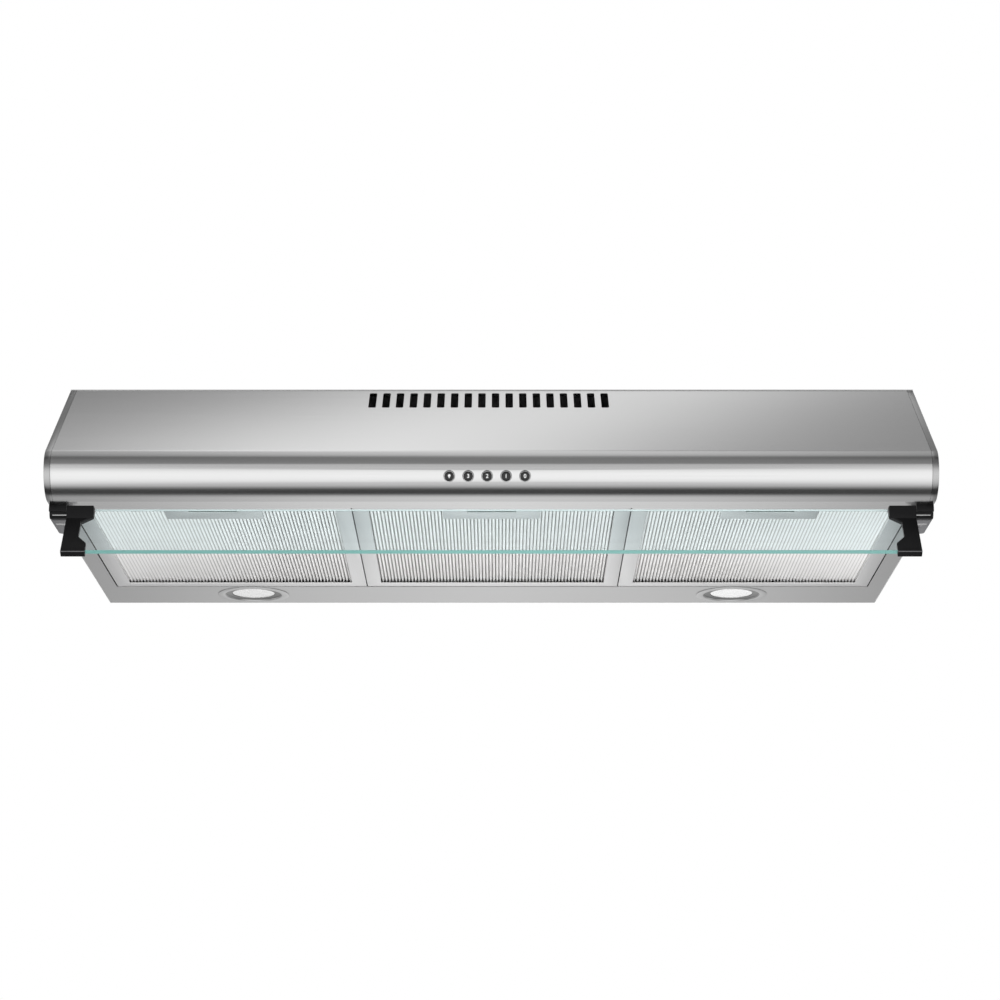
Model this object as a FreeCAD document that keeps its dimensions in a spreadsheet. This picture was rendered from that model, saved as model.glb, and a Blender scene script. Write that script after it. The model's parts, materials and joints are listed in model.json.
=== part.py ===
import FreeCAD, Part
import math
import operator
import os
import Sketcher
from FreeCAD import Placement, Rotation, Vector

# Visor range hood, 90 cm class. Millimetres, +Z up, +Y towards the wall, +X to the viewer's right.
# The origin is the middle of the four cabinet screw holes in the top panel.

SIZES = [
    # Overall form
    ("hood_width", 898, "across the end caps"),
    ("hood_depth", 510, "wall to the front of the nose"),
    ("hood_height", 155, "top panel to the underside"),
    ("top_depth", 356, "flat top, wall to the upper edge of the slope"),
    ("gauge", 1, "sheet metal thickness"),
    ("fit_gap", 0.2, "gap between fixed sheet pieces"),
    ("running_gap", 0.05, "radial clearance of a shaft in its hole"),
    ("overrun", 2, "how far a cut passes the surface"),
    # Front panel
    ("nose_height", 42.1, "underside to the lower edge of the slope"),
    ("upper_nose_radius", 20, "nose, where it meets the slope"),
    ("lower_nose_radius", 31, "nose, where it turns under"),
    ("nose_flat", 0.5, "least flat between the two rounds of the nose"),
    ("lip_depth", 57, "underside strip, from the front"),
    ("lip_rise", 14, "flange at the back of the strip"),
    ("top_flange", 18, "flange under the top panel"),
    ("vent_width", 7.9, "vent slot"),
    ("vent_length", 45, "vent slot"),
    ("vent_corner", 2, "vent slot corner radius"),
    ("vent_pitch", 14.4, "from slot to slot"),
    ("vent_from_edge", 9, "upper edge of the slope to the slots"),
    ("vent_shift", 3.2, "middle of the vent row, left of the hood's middle"),
    # End caps
    ("cap_thickness", 6.5, "end cap"),
    ("cap_wall", 2.5, "outer wall of the hollow end cap"),
    ("cap_rim", 3, "rim round the end cap's hollow"),
    # Fixing to the cabinet and the wall
    ("cabinet_hole_radius", 2.75, "screw holes in the top panel"),
    ("cabinet_spacing_wide", 560, "between those holes"),
    ("cabinet_spacing_deep", 240, "between those holes"),
    ("wall_hole_radius", 3, "screw holes in the back"),
    ("wall_hole_spacing", 640, "between those holes"),
    ("wall_hole_drop", 40, "below the top panel"),
    # Bottom pan
    ("pan_height", 13, "folded edge of the pan"),
    ("side_bar", 19, "pan beside the filters, from the side of the hood"),
    ("rear_bar", 85.6, "pan behind the filters, from the wall"),
    # Grease filters
    ("filter_height", 9, "frame thickness"),
    ("filter_gap", 1.2, "between filters and round them"),
    ("filter_recess", 0.5, "above the underside"),
    ("filter_border", 16, "frame border at the sides and back"),
    ("filter_front_border", 8, "frame border at the front"),
    ("filter_wall", 3, "outer wall of the frame channel"),
    ("filter_skin", 1, "upper and lower skin of the frame channel"),
    ("mesh_pitch", 3.7, "from pleat to pleat"),
    ("mesh_thickness", 0.9, "pleated mesh"),
    ("mesh_gap", 0.3, "mesh to its frame"),
    ("tab_width", 20, "rear tab of a filter"),
    ("tab_thickness", 2.5, "rear tab of a filter"),
    ("tab_reach", 3, "rear tab past the pan wall"),
    ("tab_offset", 90, "rear tab from the middle of its filter"),
    # Filter latch
    ("handle_width", 100, "latch housing"),
    ("handle_depth", 46, "latch housing"),
    ("handle_wall", 1.5, "latch housing wall"),
    ("finger_width", 50, "finger slot"),
    ("finger_depth", 16, "finger slot"),
    ("finger_setback", 2, "finger slot from the housing's inner front"),
    ("latch_bar_depth", 5, "cross bar that the finger pulls"),
    ("latch_arm_width", 6, "bolt at each end of the bar"),
    ("latch_arm_height", 3, "bolt at each end of the bar"),
    ("latch_reach", 2, "bolt past the lip flange"),
    ("latch_gap", 0.3, "latch to its housing"),
    # Visor and its hinges
    ("pivot_setback", 53.7, "hinge axis from the front of the nose"),
    ("pivot_drop", 6.5, "hinge axis below the underside"),
    ("visor_angle", 53, "visor below level when open, degrees"),
    ("pin_radius", 2, "hinge pin"),
    ("pin_in_arm", 9, "hinge pin inside the arm"),
    ("pin_in_barrel", 15, "hinge pin inside the barrel"),
    ("barrel_radius", 6, "hinge barrel"),
    ("barrel_length", 17.5, "hinge barrel"),
    ("hinge_block", 10.2, "front of the barrel and the claw, ahead of the hinge axis"),
    ("tongue_length", 16, "barrel's tongue inside the bracket"),
    ("tongue_thickness", 6, "barrel's tongue inside the bracket"),
    ("tongue_inset", 3, "barrel's tongue from the ends of the barrel"),
    ("bracket_length", 58, "hinge bracket"),
    ("bracket_height", 12, "hinge bracket"),
    ("bracket_corner", 4, "hinge bracket corner radius"),
    ("bracket_screw_inset", 12, "bracket screw from the side of the hood"),
    ("arm_gap", 0.4, "arm to barrel"),
    ("arm_reach", 64.5, "hinge axis to the front of the arm"),
    ("arm_thickness", 7.3, "arm"),
    ("arm_claw_width", 27.5, "arm at the hinge"),
    ("arm_claw_length", 7.5, "straight part of the claw"),
    ("arm_strut_width", 15.5, "arm at its waist"),
    ("arm_strut_start", 17, "waist from the hinge axis"),
    ("arm_strut_end", 40.5, "waist from the hinge axis"),
    ("arm_foot_width", 24.5, "arm at the front"),
    ("arm_foot_start", 51, "front part from the hinge axis"),
    ("glass_thickness", 4.6, "visor glass"),
    ("glass_grip", 16.5, "glass inside the arm's claw"),
    ("glass_back", 4.2, "glass behind the hinge axis"),
    ("glass_front_inset", 3.1, "glass short of the arm's front"),
    ("glass_corner", 3, "glass corner radius"),
    # Push buttons and their switch
    ("button_pitch", 19, "from button to button"),
    ("button_shift", 4.2, "middle button, left of the hood's middle"),
    ("button_angle", 22, "button axis below level, degrees"),
    ("button_radius", 5.3, "button cap"),
    ("button_hole_gap", 0.5, "button cap to the panel"),
    ("button_proud", 1.5, "button cap past the panel"),
    ("button_cap_length", 8.5, "button cap"),
    ("button_face_radius", 4.4, "raised face of the cap"),
    ("button_face_step", 0.6, "raised face of the cap"),
    ("stem_radius", 3, "button stem"),
    ("stem_length", 15, "button stem"),
    ("switch_stand", 5, "cap to the switch block"),
    ("switch_length", 112, "switch block"),
    ("switch_depth", 18, "switch block"),
    ("switch_height", 20, "switch block"),
    ("switch_bore_depth", 15, "stem hole in the switch block"),
    ("switch_plate", 2, "switch bracket"),
    # Lamps
    ("lamp_from_end", 172, "lamp axis from the side of the hood"),
    ("lamp_from_wall", 44.5, "lamp axis from the wall"),
    ("bezel_radius", 41, "lamp bezel"),
    ("bezel_flange", 0.6, "lamp bezel below the pan"),
    ("bezel_neck_radius", 35.5, "lamp bezel inside the pan"),
    ("bezel_neck_height", 6, "lamp bezel inside the pan"),
    ("bezel_groove_radius", 32.2, "ring groove in the bezel"),
    ("bezel_groove_width", 1.5, "ring groove in the bezel"),
    ("bezel_groove_depth", 0.7, "ring groove in the bezel"),
    ("bezel_eye_radius", 24.8, "opening of the bezel in front of the lens"),
    ("lens_seat", 1.2, "inner rim of the bezel, which carries the lens"),
    ("lens_radius", 29.8, "lamp lens"),
    ("lens_thickness", 2, "lamp lens"),
    ("cup_height", 18, "lamp cup above the bezel"),
    ("cup_wall", 1.4, "lamp cup"),
    ("board_thickness", 1.6, "lamp board"),
    ("board_radius", 26, "lamp board"),
    # Blower
    ("collar_from_wall", 115, "duct axis from the wall"),
    ("casing_radius", 57, "inside of the blower casing"),
    ("casing_centre_drop", 83, "casing centre below the top panel"),
    ("casing_length", 260, "blower casing"),
    ("casing_side", 1.5, "end plate of the casing"),
    ("wheel_shift", 6, "wheel axis off the casing centre, forwards"),
    ("wheel_lower", 3, "wheel axis off the casing centre, downwards"),
    ("inlet_radius", 40, "air inlet of the casing"),
    ("wheel_radius", 46, "fan wheel"),
    ("wheel_side_gap", 8, "fan wheel to the end of the casing"),
    ("wheel_plate", 2, "fan wheel hub plate"),
    ("wheel_hub_radius", 9, "fan wheel hub"),
    ("wheel_hub_length", 16, "fan wheel hub"),
    ("wheel_rim", 4, "fan wheel end ring"),
    ("blade_width", 8, "fan blade"),
    ("blade_thickness", 1.2, "fan blade"),
    ("blade_angle", 30, "fan blade, degrees from radial"),
    ("wheel_start", 64, "fan wheel from the middle"),
    ("shaft_radius", 4, "motor shaft"),
    ("shaft_fit", 0.02, "shaft to what is pressed on it"),
    ("shaft_end", 1, "shaft past the hub"),
    ("motor_radius", 38, "motor can"),
    ("motor_half_length", 36, "motor can"),
    ("motor_wall", 3, "motor can"),
    ("stator_half_length", 24, "stator"),
    ("rotor_radius", 20, "rotor"),
    ("rotor_half_length", 25, "rotor"),
    ("air_gap", 0.6, "rotor to stator"),
    ("bush_radius", 8, "shaft bush"),
    ("bush_length", 9, "shaft bush"),
    ("clamp_thickness", 3, "motor clamp ring"),
    ("clamp_width", 20, "motor clamp ring"),
    ("clamp_bar_height", 10, "bar that carries the clamp"),
    ("clamp_bar_rise", 3, "bar above the casing centre"),
    # Duct collar and its flaps
    ("duct_radius", 60, "outside of the duct collar"),
    ("duct_wall", 3, "duct collar"),
    ("duct_height", 40, "duct collar above the top panel"),
    ("duct_flange_radius", 75, "duct collar flange"),
    ("duct_flange_thickness", 3, "duct collar flange"),
    ("flap_height", 22, "flap axis above the top panel"),
    ("flap_offset", 3.5, "flap axis from the duct axis"),
    ("flap_radius", 55.5, "flap"),
    ("flap_thickness", 1.5, "flap"),
    ("flap_pin_radius", 1.8, "flap pin"),
    ("flap_pin_in_wall", 2, "flap pin inside the collar wall"),
    ("stop_half_width", 12, "flap stop"),
    ("stop_reach", 5, "flap stop from the collar wall"),
    ("stop_height", 3, "flap stop"),
    ("stop_gap", 0.2, "flap above its stop"),
    # Wiring
    ("terminal_from_end", 149, "terminal box centre from the side of the hood"),
    ("terminal_from_wall", 58, "terminal box centre from the wall"),
    ("terminal_width", 80, "terminal box"),
    ("terminal_depth", 50, "terminal box"),
    ("terminal_height", 30, "terminal box"),
    ("terminal_wall", 2, "terminal box"),
    ("gland_radius", 9.8, "cable gland body"),
    ("gland_flange_radius", 14, "cable gland flange"),
    ("gland_flange_thickness", 3, "cable gland flange"),
    ("gland_depth", 10, "cable gland below the top panel"),
    ("cable_radius", 3.75, "hole in the cable gland"),
    ("capacitor_radius", 14, "motor capacitor"),
    ("capacitor_length", 60, "motor capacitor"),
    ("capacitor_offset", 200, "capacitor from the middle"),
    # Screws
    ("screw_radius", 1.9, "screw shank"),
    ("screw_hole_radius", 2.1, "hole for a screw"),
    ("screw_head_radius", 3.6, "screw head"),
    ("screw_head_height", 2.2, "screw head"),
    ("screw_length", 8, "screw shank"),
    ("collar_screw_circle", 67.5, "collar screws from the duct axis"),
]

VENT_COUNT = 18
BUTTON_NAMES = ["button_lamp", "button_three", "button_two", "button_one", "button_zero"]
FILTER_NAMES = ["left", "middle", "right"]
BLADE_COUNT = 28
SIDES = [("left", -1), ("right", 1)]
TABS_PER_FILTER = (-1, 1)
TOLERANCE = 1e-4

doc = FreeCAD.newDocument("range_hood")
sheet = doc.addObject("Spreadsheet::Sheet", "sizes")
for row, (alias, value, note) in enumerate(SIZES, start=1):
    sheet.set(f"A{row}", alias)
    sheet.set(f"B{row}", str(value))
    sheet.set(f"C{row}", note)
    sheet.setAlias(f"B{row}", alias)
doc.recompute()

OPERATIONS = {"+": operator.add, "-": operator.sub, "*": operator.mul, "/": operator.truediv}


class Size:
    """A size that carries both its expression on the sheet and its value."""

    def __init__(self, text, value):
        self.text = text
        self.value = value

    def __add__(self, other):
        return combine(self, "+", other)

    def __radd__(self, other):
        return combine(other, "+", self)

    def __sub__(self, other):
        return combine(self, "-", other)

    def __rsub__(self, other):
        return combine(other, "-", self)

    def __mul__(self, other):
        return combine(self, "*", other)

    def __rmul__(self, other):
        return combine(other, "*", self)

    def __truediv__(self, other):
        return combine(self, "/", other)

    def __rtruediv__(self, other):
        return combine(other, "/", self)

    def __neg__(self):
        return combine(0, "-", self)


class Sheet:
    """Gives each size of the sheet by its alias."""

    def __getattr__(self, alias):
        return Size(f"sizes.{alias}", float(getattr(sheet, alias)))


def as_size(number):
    return number if isinstance(number, Size) else Size(repr(number), number)


def combine(left, sign, right):
    left = as_size(left)
    right = as_size(right)
    return Size(f"({left.text} {sign} {right.text})", OPERATIONS[sign](left.value, right.value))


def sine(angle):
    return Size(f"sin({angle.text} * 1 deg)", math.sin(math.radians(angle.value)))


def cosine(angle):
    return Size(f"cos({angle.text} * 1 deg)", math.cos(math.radians(angle.value)))


def tangent(angle):
    return Size(f"tan({angle.text} * 1 deg)", math.tan(math.radians(angle.value)))


def arc_tangent(ratio):
    return Size(f"(atan({ratio.text}) / 1 deg)", math.degrees(math.atan(ratio.value)))


def smaller(left, right):
    return Size(f"min({left.text}; {right.text})", min(left.value, right.value))


d = Sheet()
nodes = []


def node(obj, label):
    obj.Label = label
    nodes.append(obj)
    return obj


def bind(obj, prop, size):
    obj.setExpression(prop, as_size(size).text)


def place(obj, x, y, z):
    for axis, size in zip("xyz", (x, y, z)):
        bind(obj, f"Placement.Base.{axis}", size)


def tilt(obj, angle, x, y, z):
    obj.Placement = Placement(Vector(), Rotation(Vector(1, 0, 0), angle.value))
    bind(obj, "Placement.Rotation.Angle", angle)
    place(obj, x, y, z)


def both_ways(size):
    return (-size, size)


def on_side(side, low, high):
    return (low, high) if side > 0 else (-high, -low)


def block(name, x, y, z):
    obj = doc.addObject("Part::Box", name)
    for prop, (low, high) in zip(("Length", "Width", "Height"), (x, y, z)):
        bind(obj, prop, high - low)
    place(obj, x[0], y[0], z[0])
    return obj


def rod(name, axis, radius, centre, span):
    obj = doc.addObject("Part::Cylinder", name)
    bind(obj, "Radius", radius)
    bind(obj, "Height", span[1] - span[0])
    if axis == "X":
        obj.Placement = Placement(Vector(), Rotation(Vector(0, 1, 0), 90))
        place(obj, span[0], *centre)
    elif axis == "Y":
        obj.Placement = Placement(Vector(), Rotation(Vector(1, 0, 0), -90))
        place(obj, centre[0], span[0], centre[1])
    else:
        place(obj, *centre, span[0])
    return obj


def fuse(name, shapes):
    obj = doc.addObject("Part::MultiFuse", name)
    obj.Shapes = shapes
    return obj


def cut(name, base, tools):
    obj = doc.addObject("Part::Cut", name)
    obj.Base = base
    obj.Tool = tools[0] if len(tools) == 1 else fuse(name + "_tools", tools)
    return obj


def common(name, base, tool):
    obj = doc.addObject("Part::Common", name)
    obj.Base = base
    obj.Tool = tool
    return obj


def ring(name, axis, outer, inner, centre, span):
    bore = (span[0] - d.overrun, span[1] + d.overrun)
    return cut(name, rod(name + "_outer", axis, outer, centre, span),
               [rod(name + "_inner", axis, inner, centre, bore)])


def outline_sketch(body, role, outline):
    sketch = body.newObject("Sketcher::SketchObject", body.Name + "_sketch")
    plane = next(f for f in body.Origin.OriginFeatures if f.Role == role)
    sketch.AttachmentSupport = [(plane, "")]
    sketch.MapMode = "FlatFace"
    points = [Vector(as_size(a).value, as_size(b).value, 0) for a, b in outline]
    count = len(points)
    for i in range(count):
        sketch.addGeometry(Part.LineSegment(points[i], points[(i + 1) % count]), False)
    for i in range(count):
        sketch.addConstraint(Sketcher.Constraint("Coincident", i, 2, (i + 1) % count, 1))
    for i, (a, b) in enumerate(outline):
        for kind, size in (("DistanceX", a), ("DistanceY", b)):
            size = as_size(size)
            index = sketch.addConstraint(Sketcher.Constraint(kind, -1, 1, i, 1, size.value))
            sketch.setExpression(f"Constraints[{index}]", size.text)
    return sketch


def plate(name, role, outline, span, rounds=(), symmetric=False):
    """Pad an outline in the YZ or XY plane; rounds gives (corner number, radius) pairs."""
    body = doc.addObject("PartDesign::Body", name)
    pad = body.newObject("PartDesign::Pad", name + "_pad")
    pad.Profile = outline_sketch(body, role, outline)
    pad.SideType = "Symmetric" if symmetric else "One side"
    bind(pad, "Length", span[1] - span[0])
    doc.recompute()
    solid = pad
    for corner, radius in rounds:
        a, b = (as_size(size).value for size in outline[corner])
        edges = corner_edges(solid.Shape, role, a, b)
        fillet = body.newObject("PartDesign::Fillet", f"{name}_round_{corner}")
        fillet.Base = (solid, edges)
        bind(fillet, "Radius", radius)
        doc.recompute()
        solid = fillet
    if not symmetric:
        shift = (span[0], 0, 0) if role == "YZ_Plane" else (0, 0, span[0])
        place(body, *shift)
    return body


def corner_edges(shape, role, a, b):
    found = []
    for number, edge in enumerate(shape.Edges, start=1):
        ends = [vertex.Point for vertex in edge.Vertexes]
        flat = [(p.y, p.z) if role == "YZ_Plane" else (p.x, p.y) for p in ends]
        if len(flat) == 2 and all(math.dist(point, (a, b)) < TOLERANCE for point in flat):
            found.append(f"Edge{number}")
    return found


def solid_node(label, shape, at):
    obj = doc.addObject("Part::Feature", label)
    obj.Shape = shape
    obj.Placement = Placement(at, Rotation())
    return node(obj, label)


# Planes and lines that several pieces share
half_width = d.hood_width / 2
wall_y = d.top_depth / 2
edge_y = -wall_y
front_y = wall_y - d.hood_depth
bottom_z = -d.hood_height
lip_y = front_y + d.lip_depth
corner_z = bottom_z + d.nose_height
slope = (-d.gauge - corner_z) / (edge_y - front_y)
slope_angle = arc_tangent(slope)
lean = 1 / cosine(slope_angle)
upper_round_reach = d.upper_nose_radius * tangent((90 - slope_angle) / 2)
lower_round = smaller(d.lower_nose_radius, d.nose_height - upper_round_reach - d.nose_flat)
panel_half = half_width - d.cap_thickness
filter_field_half = half_width - d.side_bar
filter_width = (2 * filter_field_half - 4 * d.filter_gap) / 3
pan_back = wall_y - d.rear_bar
filter_front = lip_y + d.filter_gap
filter_back = pan_back - d.filter_gap
filter_z = bottom_z + d.filter_recess
filter_top = filter_z + d.filter_height
filter_mid = filter_z + d.filter_height / 2
pivot_y = front_y + d.pivot_setback
pivot_z = bottom_z - d.pivot_drop
block_y = pivot_y - d.hinge_block
arm_x = half_width - d.barrel_length - d.arm_gap
bracket_front = pivot_y + d.barrel_radius + d.arm_gap
nose_centre_y = front_y + lower_round
nose_centre_z = bottom_z + lower_round
button_y = nose_centre_y - lower_round * cosine(d.button_angle)
button_z = nose_centre_z - lower_round * sine(d.button_angle)
duct_y = wall_y - d.collar_from_wall
duct_bore = d.duct_radius - d.duct_wall
wheel_y = duct_y - d.wheel_shift
wheel_z = -d.casing_centre_drop - d.wheel_lower
casing_half = d.casing_length / 2
wheel_length = casing_half - d.wheel_start - d.wheel_side_gap
terminal_x = half_width - d.terminal_from_end
terminal_y = wall_y - d.terminal_from_wall
lamp_x = half_width - d.lamp_from_end
lamp_y = wall_y - d.lamp_from_wall
pan_floor = bottom_z + d.gauge
latch_inner = d.finger_width / 2 + d.finger_setback
latch_x = (latch_inner, latch_inner + d.latch_arm_width)


def filter_centre(index):
    return (index - 1) * (filter_width + d.filter_gap)


def button_x(index):
    return (index - 2) * d.button_pitch - d.button_shift


def latch_spans(index):
    middle = filter_centre(index)
    return [tuple(middle + x for x in on_side(side, *latch_x)) for _, side in SIDES]


def collar_screws():
    reach = d.collar_screw_circle * cosine(as_size(45))
    return [(a * reach, duct_y + b * reach) for a in (-1, 1) for b in (-1, 1)]


def bracket_screw(side):
    return (side * (half_width - d.bracket_screw_inset), bracket_front + d.bracket_length / 2)


def make_front_panel():
    inner_edge = edge_y + (d.gauge * lean - d.gauge) / slope
    inner_corner = corner_z + slope * d.gauge - d.gauge * lean
    outline = [
        (edge_y + d.top_flange, -d.gauge),
        (edge_y, -d.gauge),
        (front_y, corner_z),
        (front_y, bottom_z),
        (lip_y, bottom_z),
        (lip_y, bottom_z + d.lip_rise),
        (lip_y - d.gauge, bottom_z + d.lip_rise),
        (lip_y - d.gauge, bottom_z + d.gauge),
        (front_y + d.gauge, bottom_z + d.gauge),
        (front_y + d.gauge, inner_corner),
        (inner_edge, -2 * d.gauge),
        (edge_y + d.top_flange, -2 * d.gauge),
    ]
    rounds = [(2, d.upper_nose_radius), (3, lower_round),
              (8, lower_round - d.gauge), (9, d.upper_nose_radius - d.gauge)]
    panel = plate("front_sheet", "YZ_Plane", outline, both_ways(panel_half - d.fit_gap), rounds)
    node(cut("front_panel_cut", panel, vent_cutters() + button_cutters() + bolt_cutters()), "front_panel")


def vent_cutters():
    wide = d.vent_width / 2
    tall = d.vent_length / 2
    along = d.vent_from_edge + tall
    outline = [(-wide, -tall), (wide, -tall), (wide, tall), (-wide, tall)]
    rounds = [(corner, d.vent_corner) for corner in range(4)]
    cutters = []
    for i in range(VENT_COUNT):
        cutter = plate(f"vent_{i}", "XY_Plane", outline, both_ways(d.overrun), rounds, symmetric=True)
        x = (i - (VENT_COUNT - 1) / 2) * d.vent_pitch - d.vent_shift
        tilt(cutter, slope_angle, x,
             edge_y - along * cosine(slope_angle), -d.gauge - along * sine(slope_angle))
        cutters.append(cutter)
    return cutters


def button_cutters():
    # Each hole starts inside the nose and runs out along the button's axis.
    reach = 2 * d.overrun
    cutters = []
    for i, name in enumerate(BUTTON_NAMES):
        hole = doc.addObject("Part::Cylinder", name + "_hole")
        bind(hole, "Radius", d.button_radius + d.button_hole_gap)
        bind(hole, "Height", 2 * reach)
        tilt(hole, d.button_angle + 90, button_x(i),
             button_y + reach * cosine(d.button_angle), button_z + reach * sine(d.button_angle))
        cutters.append(hole)
    return cutters


def bolt_cutters():
    height = d.latch_arm_height / 2 + d.latch_gap
    cutters = []
    for i, name in enumerate(FILTER_NAMES):
        for number, (low, high) in enumerate(latch_spans(i)):
            cutters.append(block(f"bolt_slot_{name}_{number}", (low - d.latch_gap, high + d.latch_gap),
                                 (lip_y - d.gauge - d.overrun, lip_y + d.overrun),
                                 (filter_mid - height, filter_mid + height)))
    return cutters


def make_end_caps():
    back = edge_y - d.fit_gap
    inner_back = back - d.cap_rim
    outer = [
        (back, -d.gauge - d.fit_gap * slope),
        (front_y, corner_z),
        (front_y, bottom_z),
        (back, bottom_z),
    ]
    inner = [
        (inner_back, -d.gauge + (inner_back - edge_y) * slope - d.cap_rim * lean),
        (front_y + d.cap_rim, corner_z + slope * d.cap_rim - d.cap_rim * lean),
        (front_y + d.cap_rim, bottom_z + d.cap_rim),
        (inner_back, bottom_z + d.cap_rim),
    ]
    outer_rounds = [(1, d.upper_nose_radius), (2, lower_round)]
    inner_rounds = [(1, d.upper_nose_radius - d.cap_rim), (2, lower_round - d.cap_rim)]
    for name, side in SIDES:
        body = plate(f"cap_{name}", "YZ_Plane", outer, on_side(side, panel_half, half_width), outer_rounds)
        hollow = plate(f"cap_hollow_{name}", "YZ_Plane", inner,
                       on_side(side, panel_half - d.overrun, half_width - d.cap_wall), inner_rounds)
        node(cut(f"end_cap_{name}_cut", body, [hollow]), f"end_cap_{name}")


def make_body_shell():
    outer = block("shell_outer", both_ways(half_width), (edge_y, wall_y), (bottom_z, 0))
    inner = block("shell_inner", both_ways(half_width - d.gauge),
                  (edge_y - d.overrun, wall_y - d.gauge), (bottom_z - d.overrun, -d.gauge))
    top = (-d.gauge - d.overrun, d.overrun)
    back = (wall_y - d.gauge - d.overrun, wall_y + d.overrun)
    holes = [rod("duct_hole", "Z", duct_bore, (0, duct_y), top),
             rod("gland_hole", "Z", d.gland_radius + d.fit_gap, (terminal_x, terminal_y), top)]
    for a in (-1, 1):
        for b in (-1, 1):
            centre = (a * d.cabinet_spacing_wide / 2, b * d.cabinet_spacing_deep / 2)
            holes.append(rod(f"cabinet_hole_{a + 1}{b + 1}", "Z", d.cabinet_hole_radius, centre, top))
        centre = (a * d.wall_hole_spacing / 2, -d.wall_hole_drop)
        holes.append(rod(f"wall_hole_{a + 1}", "Y", d.wall_hole_radius, centre, back))
    for i, centre in enumerate(collar_screws()):
        holes.append(rod(f"shell_screw_hole_{i}", "Z", d.screw_hole_radius, centre, top))
    node(cut("body_shell_cut", outer, [inner] + holes), "body_shell")


def pan_outline(inset):
    wide = half_width - d.gauge - d.fit_gap - inset
    narrow = panel_half - d.fit_gap - inset
    inside = filter_field_half + inset
    back = wall_y - d.gauge - d.fit_gap - inset
    step = edge_y + inset
    front = lip_y + d.fit_gap + inset
    inside_back = pan_back + inset
    right = [(wide, back), (wide, step), (narrow, step), (narrow, front),
             (inside, front), (inside, inside_back)]
    left = [(-x, y) for x, y in reversed(right)]
    return right + left


def make_bottom_pan():
    tray = plate("pan_tray", "XY_Plane", pan_outline(0), (bottom_z, bottom_z + d.pan_height))
    hollow = plate("pan_hollow", "XY_Plane", pan_outline(d.gauge),
                   (pan_floor, bottom_z + d.pan_height + d.overrun))
    floor = (bottom_z - d.overrun, pan_floor + d.overrun)
    cuts = [hollow]
    for name, side in SIDES:
        cuts.append(rod(f"lamp_hole_{name}", "Z", d.bezel_neck_radius + d.fit_gap,
                        (side * lamp_x, lamp_y), floor))
        cuts.append(rod(f"pan_screw_hole_{name}", "Z", d.screw_hole_radius, bracket_screw(side), floor))
    for i, name in enumerate(FILTER_NAMES):
        for side in TABS_PER_FILTER:
            cuts.append(tab_block(f"tab_slot_{name}_{side + 1}", i, side, d.fit_gap, pan_back - d.overrun))
    node(cut("bottom_pan_cut", tray, cuts), "bottom_pan")


def tab_block(name, index, side, gap, start):
    middle = filter_centre(index) + side * d.tab_offset
    wide = d.tab_width / 2 + gap
    tall = d.tab_thickness / 2 + gap
    return block(name, (middle - wide, middle + wide), (start, pan_back + d.gauge + d.tab_reach + gap),
                 (filter_mid - tall, filter_mid + tall))


def make_filter(index):
    name = FILTER_NAMES[index]
    middle = filter_centre(index)
    left = middle - filter_width / 2
    right = middle + filter_width / 2
    skins = (filter_z + d.filter_skin, filter_top - d.filter_skin)
    outer = block(f"filter_outer_{name}", (left, right), (filter_front, filter_back), (filter_z, filter_top))
    window = block(f"filter_window_{name}", (left + d.filter_border, right - d.filter_border),
                   (filter_front + d.filter_front_border, filter_back - d.filter_border),
                   (filter_z - d.overrun, filter_top + d.overrun))
    channel = block(f"filter_channel_{name}", (left + d.filter_wall, right - d.filter_wall),
                    (filter_front + d.filter_wall, filter_back - d.filter_wall), skins)
    frame = cut(f"filter_frame_{name}_open", outer, [window, channel] + bolt_holes(index))
    tabs = [tab_block(f"tab_{name}_{side + 1}", index, side, 0, filter_back - d.filter_wall)
            for side in TABS_PER_FILTER]
    node(fuse(f"filter_frame_{name}_joined", [frame] + tabs), f"filter_frame_{name}")
    make_mesh(index, left, right, skins)
    make_latch(index)


def bolt_holes(index):
    height = d.latch_arm_height / 2 + d.latch_gap
    return [block(f"bolt_hole_{FILTER_NAMES[index]}_{number}", (low - d.latch_gap, high + d.latch_gap),
                  (filter_front - d.overrun, filter_front + d.filter_wall + d.overrun),
                  (filter_mid - height, filter_mid + height))
            for number, (low, high) in enumerate(latch_spans(index))]


def handle_span():
    start = filter_front + d.filter_front_border
    return (start, start + d.handle_depth)


def make_mesh(index, left, right, skins):
    # One pleated sheet, a zigzag section run from the front to the back of the frame's channel.
    edge = (d.filter_wall + d.mesh_gap).value
    low = (skins[0] + d.mesh_gap).value
    high = (skins[1] - d.mesh_gap - d.mesh_thickness).value
    start = left.value + edge
    stop = right.value - edge
    pleats = int((stop - start) / d.mesh_pitch.value)
    step = (stop - start) / (2 * pleats)
    front = filter_front.value + edge
    lower = [Vector(start + k * step, front, high if k % 2 else low) for k in range(2 * pleats + 1)]
    rise = Vector(0, 0, d.mesh_thickness.value)
    upper = [point + rise for point in reversed(lower)]
    section = Part.Face(Part.makePolygon(lower + upper + [lower[0]]))
    sheet_shape = section.extrude(Vector(0, (filter_back - filter_front).value - 2 * edge, 0))
    reach = d.handle_width.value / 2 + d.mesh_gap.value
    depth = handle_span()[1].value + d.mesh_gap.value - front + d.overrun.value
    corner = Vector(filter_centre(index).value - reach, front - d.overrun.value, filter_z.value)
    notch = Part.makeBox(2 * reach, depth, d.filter_height.value, corner)
    solid_node(f"filter_mesh_{FILTER_NAMES[index]}", sheet_shape.cut(notch), Vector())


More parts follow.
